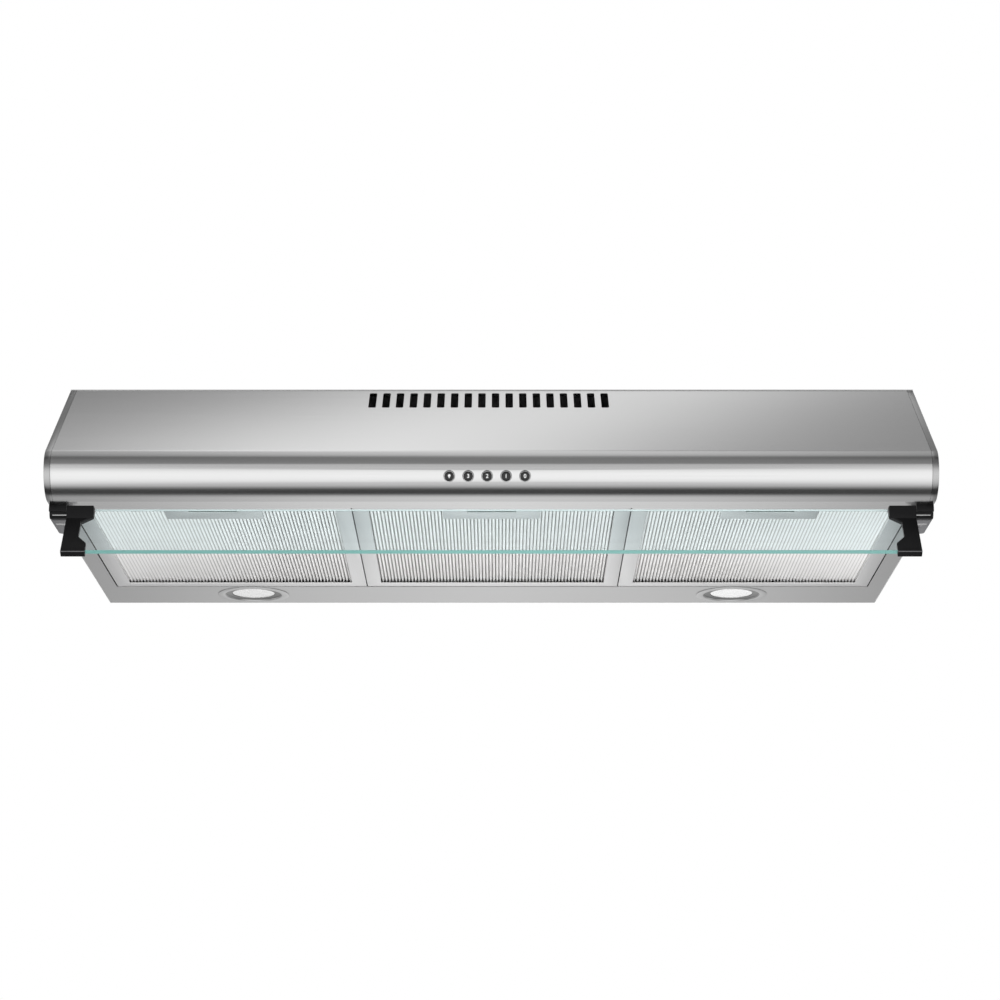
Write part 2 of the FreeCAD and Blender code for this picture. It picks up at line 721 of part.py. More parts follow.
def make_latch(index):
    name = FILTER_NAMES[index]
    middle = filter_centre(index)
    start, stop = handle_span()
    inner_start = start + d.handle_wall
    cavity_z = (filter_z + d.handle_wall, filter_top - d.handle_wall)
    half_cavity = latch_x[1] + d.latch_gap
    slot_y = (inner_start + d.finger_setback, inner_start + d.finger_setback + d.finger_depth)
    half_slot = d.finger_width / 2
    height = d.latch_arm_height / 2 + d.latch_gap
    body = block(f"handle_body_{name}", (middle - d.handle_width / 2, middle + d.handle_width / 2),
                 (start, stop), (filter_z, filter_top))
    cavity = block(f"handle_cavity_{name}", (middle - half_cavity, middle + half_cavity),
                   (inner_start, stop - d.handle_wall), cavity_z)
    slot = block(f"finger_slot_{name}", (middle - half_slot, middle + half_slot), slot_y,
                 (filter_z - d.overrun, cavity_z[0] + d.overrun))
    holes = [block(f"handle_hole_{name}_{number}", (low - d.latch_gap, high + d.latch_gap),
                   (start - d.overrun, inner_start + d.overrun), (filter_mid - height, filter_mid + height))
             for number, (low, high) in enumerate(latch_spans(index))]
    node(cut(f"filter_handle_{name}_cut", body, [cavity, slot] + holes), f"filter_handle_{name}")
    bar_y = (slot_y[1] - d.latch_bar_depth, slot_y[1])
    bar = block(f"latch_bar_{name}", (middle - latch_x[1], middle + latch_x[1]), bar_y,
                (cavity_z[0] + d.latch_gap, cavity_z[1] - d.latch_gap))
    tall = d.latch_arm_height / 2
    arms = [block(f"latch_arm_{name}_{number}", span, (lip_y - d.gauge - d.latch_reach, bar_y[1]),
                  (filter_mid - tall, filter_mid + tall))
            for number, span in enumerate(latch_spans(index))]
    node(fuse(f"filter_latch_{name}_joined", [bar] + arms), f"filter_latch_{name}")


def make_hinge(name, side):
    barrel_x = on_side(side, half_width - d.barrel_length, half_width)
    tongue_y = (pivot_y, bracket_front + d.tongue_length)
    tongue_z = (pivot_z - d.tongue_thickness / 2, pivot_z + d.tongue_thickness / 2)
    pin_x = on_side(side, arm_x - d.pin_in_arm, half_width - d.barrel_length + d.pin_in_barrel)
    core = rod(f"barrel_core_{name}", "X", d.barrel_radius, (pivot_y, pivot_z), barrel_x)
    tongue_x = on_side(side, half_width - d.barrel_length + d.tongue_inset, half_width - d.tongue_inset)
    tongue = block(f"barrel_tongue_{name}", tongue_x, tongue_y, tongue_z)
    bore = rod(f"barrel_bore_{name}", "X", d.pin_radius + d.shaft_fit, (pivot_y, pivot_z),
               on_side(side, half_width - d.barrel_length - d.overrun,
                       half_width - d.barrel_length + d.pin_in_barrel + d.shaft_fit))
    saddle = block(f"barrel_saddle_{name}", barrel_x, (block_y, pivot_y), (pivot_z, bottom_z))
    whole = fuse(f"barrel_whole_{name}", [core, saddle, tongue])
    node(cut(f"hinge_barrel_{name}_cut", whole, [bore]), f"hinge_barrel_{name}")
    bracket_end = bracket_front + d.bracket_length
    low, high = barrel_x
    outline = [(low, bracket_front), (high, bracket_front), (high, bracket_end), (low, bracket_end)]
    rounds = [(2, d.bracket_corner), (3, d.bracket_corner)]
    bracket = plate(f"bracket_{name}", "XY_Plane", outline, (bottom_z - d.bracket_height, bottom_z), rounds)
    pocket = block(f"bracket_pocket_{name}", (tongue_x[0] - d.fit_gap, tongue_x[1] + d.fit_gap),
                   (bracket_front - d.overrun, tongue_y[1] + d.fit_gap),
                   (tongue_z[0] - d.fit_gap, tongue_z[1] + d.fit_gap))
    centre = bracket_screw(side)
    hole = rod(f"bracket_hole_{name}", "Z", d.screw_hole_radius, centre,
               (bottom_z - d.bracket_height - d.overrun, bottom_z + d.overrun))
    sink = rod(f"bracket_sink_{name}", "Z", d.screw_head_radius + d.fit_gap, centre,
               (bottom_z - d.bracket_height - d.overrun, bottom_z - d.screw_length / 2))
    node(cut(f"hinge_bracket_{name}_cut", bracket, [pocket, hole, sink]), f"hinge_bracket_{name}")
    return rod(f"hinge_pin_{name}", "X", d.pin_radius, (pivot_y, pivot_z), pin_x)


def make_visor():
    glass_half = arm_x - d.arm_claw_width + d.glass_grip
    glass_front = -d.arm_reach + d.glass_front_inset
    for name, side in SIDES:
        make_arm(name, side, glass_half, glass_front)
    outline = [(-glass_half, glass_front), (glass_half, glass_front),
               (glass_half, d.glass_back), (-glass_half, d.glass_back)]
    rounds = [(corner, d.glass_corner) for corner in range(4)]
    glass = plate("visor_glass_pane", "XY_Plane", outline, both_ways(d.glass_thickness / 2), rounds,
                  symmetric=True)
    tilt(glass, d.visor_angle, 0, pivot_y, pivot_z)
    node(glass, "visor_glass")


def make_arm(name, side, glass_half, glass_front):
    # The arm lies level here, reaching to -Y from the hinge axis, and is tilted into place at the end.
    def x(inward):
        return side * (arm_x - inward)

    outline = [
        (x(0), 0),
        (x(0), -d.arm_reach),
        (x(d.arm_foot_width), -d.arm_reach),
        (x(d.arm_foot_width), -d.arm_foot_start),
        (x(d.arm_strut_width), -d.arm_strut_end),
        (x(d.arm_strut_width), -d.arm_strut_start),
        (x(d.arm_claw_width), -d.arm_claw_length),
        (x(d.arm_claw_width), 0),
    ]
    blade = plate(f"arm_blade_{name}", "XY_Plane", outline, both_ways(d.arm_thickness / 2), symmetric=True)
    knuckle = rod(f"arm_knuckle_{name}", "X", d.barrel_radius, (0, 0),
                  on_side(side, arm_x - d.arm_claw_width, arm_x))
    slot = block(f"arm_slot_{name}",
                 on_side(side, arm_x - d.arm_claw_width - d.overrun, glass_half + d.fit_gap),
                 (glass_front - d.fit_gap, d.glass_back + d.fit_gap),
                 both_ways(d.glass_thickness / 2 + d.fit_gap / 2))
    bore = rod(f"arm_bore_{name}", "X", d.pin_radius + d.running_gap, (0, 0),
               on_side(side, arm_x - d.pin_in_arm - d.shaft_fit, arm_x + d.overrun))
    whole = fuse(f"arm_whole_{name}", [blade, knuckle])
    arm = cut(f"visor_arm_{name}_cut", whole, [slot, bore])
    tilt(arm, d.visor_angle, 0, pivot_y, pivot_z)
    node(fuse(f"visor_arm_{name}_joined", [arm, claw_block(name, side)]), f"visor_arm_{name}")


def claw_block(name, side):
    # It stands on the blade's front half and is squared off under the strip and at the front.
    depth = (d.arm_thickness + d.glass_thickness) / 4
    back_z = pivot_z + depth / cosine(d.visor_angle)
    front_z = back_z - d.hinge_block * tangent(d.visor_angle)
    top_z = pivot_z + d.barrel_radius
    outline = [(pivot_y, back_z), (pivot_y, top_z), (block_y, top_z), (block_y, front_z)]
    return plate(f"claw_block_{name}", "YZ_Plane", outline, on_side(side, arm_x - d.arm_claw_width, arm_x))


def make_buttons():
    cap_back = d.button_cap_length - d.button_proud
    block_front = cap_back + d.switch_stand
    for i, name in enumerate(BUTTON_NAMES):
        face = rod(name + "_face", "Y", d.button_face_radius, (0, 0),
                   (-d.button_proud - d.button_face_step, 0))
        cap = rod(name + "_cap", "Y", d.button_radius, (0, 0), (-d.button_proud, cap_back))
        stem = rod(name + "_stem", "Y", d.stem_radius, (0, 0), (0, cap_back + d.stem_length))
        button = fuse(name + "_joined", [face, cap, stem])
        tilt(button, d.button_angle, button_x(i), button_y, button_z)
        node(button, name)
    body = block("switch_body", both_ways(d.switch_length / 2), (block_front, block_front + d.switch_depth),
                 both_ways(d.switch_height / 2))
    bores = [rod(f"switch_bore_{i}", "Y", d.stem_radius + d.running_gap, (button_x(i), 0),
                 (block_front - d.overrun, block_front + d.switch_bore_depth))
             for i in range(len(BUTTON_NAMES))]
    switch = cut("switch_block_cut", body, bores)
    tilt(switch, d.button_angle, 0, button_y, button_z)
    node(switch, "switch_block")
    make_switch_bracket(block_front)


def make_switch_bracket(block_front):
    # A shelf under the switch block on a leg that stands on the underside strip.
    under = -d.switch_height / 2
    shelf = block("switch_shelf", both_ways(d.switch_length / 2), (block_front, block_front + d.switch_depth),
                  (under - d.switch_plate, under))
    middle = block_front + d.switch_depth / 2
    leg = block("switch_leg", both_ways(d.switch_length / 2), (middle, middle + d.switch_plate),
                (under - d.switch_height, under))
    tilted = fuse("switch_shelf_and_leg", [shelf, leg])
    tilt(tilted, d.button_angle, 0, button_y, button_z)
    ground = block("switch_ground", both_ways(d.switch_length), (front_y, lip_y),
                   (bottom_z - d.switch_height, bottom_z + d.gauge))
    node(cut("switch_bracket_cut", tilted, [ground]), "switch_bracket")


def make_lamp(name, side):
    centre = (side * lamp_x, lamp_y)
    neck_top = bottom_z + d.bezel_neck_height
    cup_top = neck_top + d.cup_height
    seat = bottom_z + d.lens_seat
    low = bottom_z - d.bezel_flange
    flange = rod(f"bezel_flange_{name}", "Z", d.bezel_radius, centre, (low, bottom_z))
    neck = rod(f"bezel_neck_{name}", "Z", d.bezel_neck_radius, centre, (bottom_z - d.fit_gap, neck_top))
    whole = fuse(f"bezel_whole_{name}", [flange, neck])
    eye = rod(f"bezel_eye_{name}", "Z", d.bezel_eye_radius, centre, (low - d.overrun, neck_top))
    well = rod(f"bezel_well_{name}", "Z", d.lens_radius + d.fit_gap, centre, (seat, neck_top + d.overrun))
    groove = ring(f"bezel_groove_{name}", "Z", d.bezel_groove_radius + d.bezel_groove_width,
                  d.bezel_groove_radius, centre, (low - d.overrun, low + d.bezel_groove_depth))
    node(cut(f"lamp_bezel_{name}_cut", whole, [eye, well, groove]), f"lamp_bezel_{name}")
    node(rod(f"lens_disc_{name}", "Z", d.lens_radius, centre, (seat, seat + d.lens_thickness)),
         f"lamp_lens_{name}")
    outer = rod(f"cup_outer_{name}", "Z", d.bezel_neck_radius, centre, (neck_top, cup_top))
    inner = rod(f"cup_inner_{name}", "Z", d.bezel_neck_radius - d.cup_wall, centre,
                (neck_top - d.overrun, cup_top - d.cup_wall))
    node(cut(f"lamp_cup_{name}_cut", outer, [inner]), f"lamp_cup_{name}")
    board_top = cup_top - d.cup_wall
    node(rod(f"board_{name}", "Z", d.board_radius, centre, (board_top - d.board_thickness, board_top)),
         f"lamp_board_{name}")


def casing_section(name, radius, span):
    centre_z = -d.casing_centre_drop
    return fuse(name, [
        rod(name + "_round", "X", radius, (duct_y, centre_z), span),
        block(name + "_straight", span, (duct_y - radius, duct_y + radius), (centre_z, -d.gauge)),
    ])


def make_casing():
    outer = casing_section("casing_outer", d.casing_radius + d.gauge, both_ways(casing_half))
    centre_z = -d.casing_centre_drop
    span = both_ways(casing_half + d.overrun)
    hollow = [rod("casing_hollow_round", "X", d.casing_radius, (duct_y, centre_z), span),
              block("casing_hollow", span, (duct_y - d.casing_radius, duct_y + d.casing_radius),
                    (centre_z, 0))]
    node(cut("blower_band_cut", outer, hollow), "blower_band")
    for name, side in SIDES:
        span = on_side(side, casing_half, casing_half + d.casing_side)
        disc = casing_section(f"casing_side_{name}", d.casing_radius + d.gauge, span)
        inlet = rod(f"inlet_{name}", "X", d.inlet_radius, (wheel_y, wheel_z),
                    on_side(side, casing_half - d.overrun, casing_half + d.casing_side + d.overrun))
        node(cut(f"blower_side_{name}_cut", disc, [inlet]), f"blower_side_{name}")


def make_motor():
    axis = (wheel_y, wheel_z)
    inside = d.motor_half_length - d.motor_wall
    can_bore = d.motor_radius - d.motor_wall
    can = rod("can_outer", "X", d.motor_radius, axis, both_ways(d.motor_half_length))
    hollow = rod("can_hollow", "X", can_bore, axis, both_ways(inside))
    seats = rod("can_seats", "X", d.bush_radius + d.shaft_fit, axis,
                both_ways(d.motor_half_length + d.overrun))
    node(cut("motor_can_cut", can, [hollow, seats]), "motor_can")
    node(ring("stator_ring", "X", can_bore - d.shaft_fit, d.rotor_radius + d.air_gap, axis,
              both_ways(d.stator_half_length)), "motor_stator")
    node(ring("rotor_ring", "X", d.rotor_radius, d.shaft_radius + d.shaft_fit, axis,
              both_ways(d.rotor_half_length)), "motor_rotor")
    shaft_half = d.wheel_start + d.wheel_hub_length + d.shaft_end
    node(rod("shaft_rod", "X", d.shaft_radius, axis, both_ways(shaft_half)), "motor_shaft")
    bushes = [ring(f"bush_{name}", "X", d.bush_radius, d.shaft_radius + d.running_gap, axis,
                   on_side(side, inside - d.motor_wall, inside - d.motor_wall + d.bush_length))
              for name, side in SIDES]
    node(fuse("bush_pair", bushes), "shaft_bushes")
    clamp = rod("clamp_outer", "X", d.motor_radius + d.fit_gap + d.clamp_thickness, axis,
                both_ways(d.clamp_width / 2))
    bar_z = -d.casing_centre_drop + d.clamp_bar_rise
    bar = block("clamp_bar", both_ways(d.clamp_width / 2),
                (duct_y - d.casing_radius, duct_y + d.casing_radius),
                (bar_z, bar_z + d.clamp_bar_height))
    bore = rod("clamp_bore", "X", d.motor_radius + d.fit_gap, axis, both_ways(d.clamp_width))
    node(cut("motor_bracket_cut", fuse("clamp_whole", [clamp, bar]), [bore]), "motor_bracket")


def make_impeller(name, side):
    # Built along +X from the hub plate at zero, then turned to its side and moved to the motor axis.
    radius = d.wheel_radius.value
    length = wheel_length.value
    along = Vector(1, 0, 0)
    start = Vector()
    rim_start = Vector(length - d.wheel_rim.value, 0, 0)
    hub = Part.makeCylinder(d.wheel_hub_radius.value, d.wheel_hub_length.value, start, along)
    hub_plate = Part.makeCylinder(radius, d.wheel_plate.value, start, along)
    rim = Part.makeCylinder(radius, d.wheel_rim.value, rim_start, along)
    rim = rim.cut(Part.makeCylinder(radius - d.wheel_rim.value, d.wheel_rim.value, rim_start, along))
    width = d.blade_width.value
    corner = Vector(0, -width / 2, -d.blade_thickness.value / 2)
    blade = Part.makeBox(length, width, d.blade_thickness.value, corner)
    blade.rotate(Vector(), along, d.blade_angle.value)
    blade.translate(Vector(0, radius - width / 2, 0))
    blades = []
    for i in range(BLADE_COUNT):
        copy = blade.copy()
        copy.rotate(Vector(), along, 360 * i / BLADE_COUNT)
        blades.append(copy)
    wheel = hub_plate.multiFuse([hub, rim] + blades)
    bore = Part.makeCylinder(d.shaft_radius.value + d.shaft_fit.value, length, start, along)
    wheel = wheel.cut(bore).common(Part.makeCylinder(radius, length, start, along))
    if side < 0:
        wheel = wheel.mirror(Vector(), along)
    seat = Vector(side * d.wheel_start.value, wheel_y.value, wheel_z.value)
    solid_node(f"impeller_{name}", wheel, seat)


def make_duct():
    axis = (0, duct_y)
    tube = rod("duct_tube", "Z", d.duct_radius, axis, (0, d.duct_height))
    flange = rod("duct_flange", "Z", d.duct_flange_radius, axis, (0, d.duct_flange_thickness))
    bore = rod("duct_bore", "Z", duct_bore, axis, (-d.overrun, d.duct_height + d.overrun))
    walls = cut("duct_walls", fuse("duct_whole", [tube, flange]), [bore])
    stop_top = d.flap_height - d.flap_thickness / 2 - d.stop_gap
    stops = []
    pin_holes = []
    for name, side in (("front", -1), ("rear", 1)):
        low, high = on_side(side, duct_bore - d.stop_reach, duct_bore + d.duct_wall / 2)
        stops.append(block(f"flap_stop_{name}", both_ways(d.stop_half_width), (duct_y + low, duct_y + high),
                           (stop_top - d.stop_height, stop_top)))
        pin_y = duct_y + side * d.flap_offset
        pin_holes.append(rod(f"flap_hole_{name}", "X", d.flap_pin_radius + d.running_gap,
                             (pin_y, d.flap_height), both_ways(d.duct_radius + d.overrun)))
        make_flap(name, side, pin_y)
    for i, centre in enumerate(collar_screws()):
        pin_holes.append(rod(f"duct_screw_hole_{i}", "Z", d.screw_hole_radius, centre,
                             (-d.overrun, d.duct_flange_thickness + d.overrun)))
    node(cut("duct_collar_cut", fuse("duct_with_stops", [walls] + stops), pin_holes), "duct_collar")


def make_flap(name, side, pin_y):
    thick = (d.flap_height - d.flap_thickness / 2, d.flap_height + d.flap_thickness / 2)
    disc = rod(f"flap_disc_{name}", "Z", d.flap_radius, (0, duct_y), thick)
    low, high = on_side(side, d.flap_offset, d.flap_radius)
    half = block(f"flap_half_{name}", both_ways(d.flap_radius), (duct_y + low, duct_y + high), thick)
    leaf = common(f"flap_leaf_{name}", disc, half)
    pin = rod(f"flap_pin_{name}", "X", d.flap_pin_radius, (pin_y, d.flap_height),
              both_ways(duct_bore + d.flap_pin_in_wall))
    node(fuse(f"flap_{name}_joined", [leaf, pin]), f"flap_{name}")


def make_wiring():
    centre = (terminal_x, terminal_y)
    x = (terminal_x - d.terminal_width / 2, terminal_x + d.terminal_width / 2)
    y = (terminal_y - d.terminal_depth / 2, terminal_y + d.terminal_depth / 2)
    top = -d.gauge
    low = top - d.terminal_height
    wall = d.terminal_wall
    outer = block("terminal_outer", x, y, (low, top))
    inner = block("terminal_inner", (x[0] + wall, x[1] - wall), (y[0] + wall, y[1] - wall),
                  (low - d.overrun, top - wall))
    hole = rod("terminal_hole", "Z", d.gland_radius + d.fit_gap, centre,
               (top - wall - d.overrun, top + d.overrun))
    node(cut("terminal_box_cut", outer, [inner, hole]), "terminal_box")
    node(block("terminal_cover", x, y, (low - wall, low)), "terminal_lid")
    flange = rod("gland_flange", "Z", d.gland_flange_radius, centre, (0, d.gland_flange_thickness))
    body = rod("gland_body", "Z", d.gland_radius, centre, (-d.gland_depth, d.gland_flange_thickness))
    bore = rod("gland_bore", "Z", d.cable_radius, centre,
               (-d.gland_depth - d.overrun, d.gland_flange_thickness + d.overrun))
    node(cut("cable_gland_cut", fuse("gland_whole", [flange, body]), [bore]), "cable_gland")
    span = (-d.capacitor_offset - d.capacitor_length, -d.capacitor_offset)
    node(rod("capacitor_can", "X", d.capacitor_radius,
             (terminal_y, -d.gauge - d.capacitor_radius - d.fit_gap), span), "capacitor")


def make_screw(name, centre, face, way):
    # The head lies on the face, outside it in the direction way; the shank goes the other way in.
    head = sorted([face, face + way * d.screw_head_height], key=lambda size: as_size(size).value)
    shank = sorted([face, face - way * d.screw_length], key=lambda size: as_size(size).value)
    return fuse(name, [rod(name + "_head", "Z", d.screw_head_radius, centre, head),
                       rod(name + "_shank", "Z", d.screw_radius, centre, shank)])


def make_screws():
    screws = [make_screw(f"collar_screw_{i}", centre, d.duct_flange_thickness, 1)
              for i, centre in enumerate(collar_screws())]
    screws += [make_screw(f"bracket_screw_{name}", bracket_screw(side), bottom_z - d.screw_length / 2, -1)
               for name, side in SIDES]
    group = doc.addObject("Part::Compound", "screw_group")
    group.Links = screws
    node(group, "screws")


make_front_panel()
make_end_caps()
make_body_shell()
make_bottom_pan()
for index in range(len(FILTER_NAMES)):
    make_filter(index)
pins = doc.addObject("Part::Compound", "hinge_pin_pair")
pins.Links = [make_hinge(name, side) for name, side in SIDES]
node(pins, "hinge_pins")
make_visor()
make_buttons()
for name, side in SIDES:
    make_lamp(name, side)
    make_impeller(name, side)
make_casing()
make_motor()
make_duct()
make_wiring()
make_screws()
doc.recompute()

for obj in doc.Objects:
    if "Invalid" in obj.State or "Error" in obj.State:
        raise RuntimeError(f"{obj.Label} failed: {obj.State}")
for obj in nodes:
    if obj.Shape.isNull() or not obj.Shape.isValid():
        raise RuntimeError(f"{obj.Label} has no valid shape")

os.makedirs("parts", exist_ok=True)
for obj in nodes:
    obj.Shape.exportStep(f"parts/{obj.Label}.step")
    print(obj.Label, len(obj.Shape.Solids), round(obj.Shape.Volume))
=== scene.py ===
import bpy
import bmesh
import json
import math
from mathutils import Matrix, Vector


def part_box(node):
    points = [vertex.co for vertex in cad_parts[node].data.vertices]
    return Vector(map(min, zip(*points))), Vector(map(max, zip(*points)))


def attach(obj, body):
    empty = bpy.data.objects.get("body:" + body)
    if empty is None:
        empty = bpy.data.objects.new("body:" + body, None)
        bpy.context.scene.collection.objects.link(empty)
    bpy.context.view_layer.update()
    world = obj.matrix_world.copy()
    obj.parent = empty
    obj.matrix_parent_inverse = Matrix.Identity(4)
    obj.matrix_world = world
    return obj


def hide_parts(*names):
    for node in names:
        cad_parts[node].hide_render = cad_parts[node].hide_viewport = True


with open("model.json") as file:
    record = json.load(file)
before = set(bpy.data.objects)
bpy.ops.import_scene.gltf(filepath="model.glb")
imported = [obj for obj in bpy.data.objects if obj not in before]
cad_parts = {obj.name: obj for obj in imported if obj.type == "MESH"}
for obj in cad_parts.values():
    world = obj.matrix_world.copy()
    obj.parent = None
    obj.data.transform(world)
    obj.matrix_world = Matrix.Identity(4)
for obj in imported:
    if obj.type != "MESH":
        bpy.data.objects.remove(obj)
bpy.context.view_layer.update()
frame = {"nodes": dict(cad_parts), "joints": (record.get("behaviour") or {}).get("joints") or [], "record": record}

record = frame["record"]
joints = {joint["name"]: joint for joint in frame["joints"]}
bodyOf = {node: body for body, members in record["behaviour"]["bodies"].items() for node in members}
mm = 0.001
tiny = 1e-6          # metres: places closer than this are the same
squareOn = 0.99      # cosine for a face that looks straight along an axis
sides = {"left": -1, "right": 1}
print("frame loaded,", len(frame["nodes"]), "nodes")


# shader tools

class Value:
    # a socket that takes part in plain sums
    def __init__(self, shader, socket):
        self.shader = shader
        self.socket = socket

    def sum(self, operation, first, second):
        return self.shader.add("ShaderNodeMath", {"operation": operation}, {0: first, 1: second})

    def __add__(self, other):
        return self.sum("ADD", self, other)

    def __radd__(self, other):
        return self.sum("ADD", other, self)

    def __sub__(self, other):
        return self.sum("SUBTRACT", self, other)

    def __rsub__(self, other):
        return self.sum("SUBTRACT", other, self)

    def __mul__(self, other):
        return self.sum("MULTIPLY", self, other)

    def __rmul__(self, other):
        return self.sum("MULTIPLY", other, self)


class Shader:
    # one material or world, with one way to add any node
    def __init__(self, tree):
        self.tree = tree
        self.tree.nodes.clear()

    def add(self, kind, settings=None, sockets=None, output=0):
        node = self.tree.nodes.new(kind)
        for name, value in (settings or {}).items():
            if name == "stops":
                self.setStops(node.color_ramp, value)
            else:
                setattr(node, name, value)
        for name, value in (sockets or {}).items():
            if isinstance(value, Value):
                self.tree.links.new(value.socket, node.inputs[name])
            else:
                node.inputs[name].default_value = value
        return Value(self, node.outputs[output]) if len(node.outputs) else node

    def setStops(self, ramp, stops):
        while len(ramp.elements) < len(stops):
            ramp.elements.new(0.5)
        for element, (place, tone) in zip(ramp.elements, stops):
            element.position = place
            element.color = (*tone, 1)

    def objectPlace(self, scale=(1, 1, 1)):
        place = self.add("ShaderNodeTexCoord", output="Object")
        return self.add("ShaderNodeMapping", sockets={"Vector": place, "Scale": scale})

    def part(self, place, axis):
        return self.add("ShaderNodeSeparateXYZ", sockets={"Vector": place}, output=axis)

    def noise(self, place, scale, detail, roughness=0.5):
        return self.add("ShaderNodeTexNoise", sockets={"Vector": place, "Scale": scale, "Detail": detail,
                                                       "Roughness": roughness})

    def tone(self, mask, dark, light):
        return self.add("ShaderNodeValToRGB", {"stops": [(0, dark), (1, light)]}, {"Fac": mask})

    def bump(self, height, distance, strength):
        return self.add("ShaderNodeBump", sockets={"Height": height, "Distance": distance,
                                                   "Strength": strength})

    def finish(self, sockets):
        surface = self.add("ShaderNodeBsdfPrincipled", sockets=sockets)
        self.add("ShaderNodeOutputMaterial", sockets={"Surface": surface})


def newFinish(name):
    material = bpy.data.materials.new(name)
    material.use_nodes = True
    return material, Shader(material.node_tree)


def grey(level, warmth=0.0):
    return (level * (1 + warmth), level, level * (1 - warmth))


# metals

def brushedMetal(name, level, rough, grain=(3, 900, 900)):
    # long fine strokes along the width, with a slow drift in tone
    material, shader = newFinish(name)
    strokes = shader.noise(shader.objectPlace(scale=grain), 1.0, 4, 0.7)
    drift = shader.noise(shader.objectPlace(scale=(2.2, 7, 7)), 1.0, 2)
    mask = strokes * 0.65 + drift * 0.35
    shader.finish({
        "Base Color": shader.tone(mask, grey(level * 0.9), grey(level * 1.1)),
        "Roughness": strokes * 0.12 + (rough - 0.06),
        "Metallic": 1.0,
        "Normal": shader.bump(strokes, 0.00004, 0.5),
    })
    return material


def castMetal(name, level, rough, grain, metallic=1.0, warmth=0.0, depth=0.00005):
    # plain rolled, plated or cast metal with a fine cloudy grain
    material, shader = newFinish(name)
    cloud = shader.noise(shader.objectPlace(), grain, 4, 0.6)
    patch = shader.noise(shader.objectPlace(), grain * 0.06, 2)
    shader.finish({
        "Base Color": shader.tone(cloud * 0.6 + patch * 0.4, grey(level * 0.85, warmth),
                                  grey(level * 1.12, warmth)),
        "Roughness": cloud * 0.16 + (rough - 0.08),
        "Metallic": metallic,
        "Normal": shader.bump(cloud, depth, 0.4),
    })
    return material


def zincMetal(name):
    # galvanised sheet, with its spangle
    material, shader = newFinish(name)
    spangle = shader.add("ShaderNodeTexVoronoi", {"feature": "F1"},
                         {"Vector": shader.objectPlace(), "Scale": 90.0}, "Color")
    value = shader.add("ShaderNodeSeparateColor", sockets={"Color": spangle}, output=0)
    shader.finish({
        "Base Color": shader.tone(value, (0.36, 0.38, 0.40), (0.56, 0.58, 0.60)),
        "Roughness": value * 0.18 + 0.30,
        "Metallic": 1.0,
        "Normal": shader.bump(value, 0.00003, 0.3),
    })
    return material


def mouldedPlastic(name, tone, rough, gloss=0.5):
    # spark eroded mould texture, a little uneven in gloss
    material, shader = newFinish(name)
    texture = shader.noise(shader.objectPlace(), 2600, 2)
    handling = shader.noise(shader.objectPlace(), 30.0, 3)
    dark = tuple(part * 0.85 for part in tone)
    light = tuple(part * 1.15 for part in tone)
    shader.finish({
        "Base Color": shader.tone(handling, dark, light),
        "Roughness": handling * 0.14 + (rough - 0.07),
        "Specular IOR Level": gloss,
        "Normal": shader.bump(texture, 0.00006, 0.5),
    })
    return material


def pleatedMesh(name, bottom, top):
    # expanded aluminium: bright on the crests, with painted shade that darkens the folds
    material, shader = newFinish(name)
    place = shader.objectPlace()
    height = shader.part(place, "Z")
    fold = shader.add("ShaderNodeMapRange", sockets={"Value": height, "From Min": bottom, "From Max": top})
    diamonds = shader.add("ShaderNodeTexVoronoi", {"feature": "DISTANCE_TO_EDGE"},
                          {"Vector": shader.objectPlace(scale=(1, 0.55, 1)), "Scale": 620.0}, "Distance")
    dirt = shader.noise(place, 45.0, 4)
    # painted shade: the base colour turns darker higher up in the folds, where the pleats shade each other
    foldShade = shader.add("ShaderNodeValToRGB", {"stops": [
        (0.0, grey(0.99)), (0.40, grey(0.97)), (0.66, grey(0.52, 0.01)), (1.0, grey(0.28, 0.01))]},
                           {"Fac": fold})
    smear = shader.tone(dirt, grey(0.90, 0.01), grey(1.0))
    shader.finish({
        "Base Color": shader.add("ShaderNodeMix", {"data_type": "RGBA", "blend_type": "MULTIPLY"},
                                 {0: 1.0, 6: foldShade, 7: smear}, 2),
        "Roughness": dirt * 0.2 + 0.3,
        "Metallic": 0.12,
        "Normal": shader.bump(diamonds, 0.00020, 0.5),
    })
    return material


# clear pieces

def clearGlass(name):
    material, shader = newFinish(name)
    wipe = shader.noise(shader.objectPlace(scale=(4, 18, 18)), 1.0, 3)
    shader.finish({
        "Base Color": shader.tone(wipe, (0.87, 0.97, 0.98), (0.89, 0.98, 0.99)),
        "Roughness": wipe * 0.02,
        "Transmission Weight": 1.0,
        "IOR": 1.46,
    })
    return material


def glassEdge(name, dark, light):
    # a ground edge gathers the green of the pane
    material, shader = newFinish(name)
    grind = shader.noise(shader.objectPlace(scale=(40, 900, 900)), 1.0, 3)
    drift = shader.noise(shader.objectPlace(scale=(5, 5, 5)), 1.0, 2)
    shader.finish({
        "Base Color": shader.tone(drift, dark, light),
        "Roughness": grind * 0.25 + 0.15,
        "Coat Weight": 0.4,
        "Normal": shader.bump(grind, 0.00003, 0.4),
    })
    return material


def frostedLens(name, cell):
    material, shader = newFinish(name)
    prisms = shader.add("ShaderNodeTexVoronoi", {"feature": "SMOOTH_F1"},
                        {"Vector": shader.objectPlace(), "Scale": 1 / cell}, "Distance")
    glow = shader.tone(prisms, grey(0.10), grey(0.05))
    shader.finish({
        "Base Color": shader.tone(prisms, grey(0.74), grey(0.57)),
        "Roughness": prisms * 0.2 + 0.18,
        "Emission Color": glow,
        "Emission Strength": 1.0,
        "Normal": shader.bump(prisms, 0.0006, 0.7),
    })
    return material


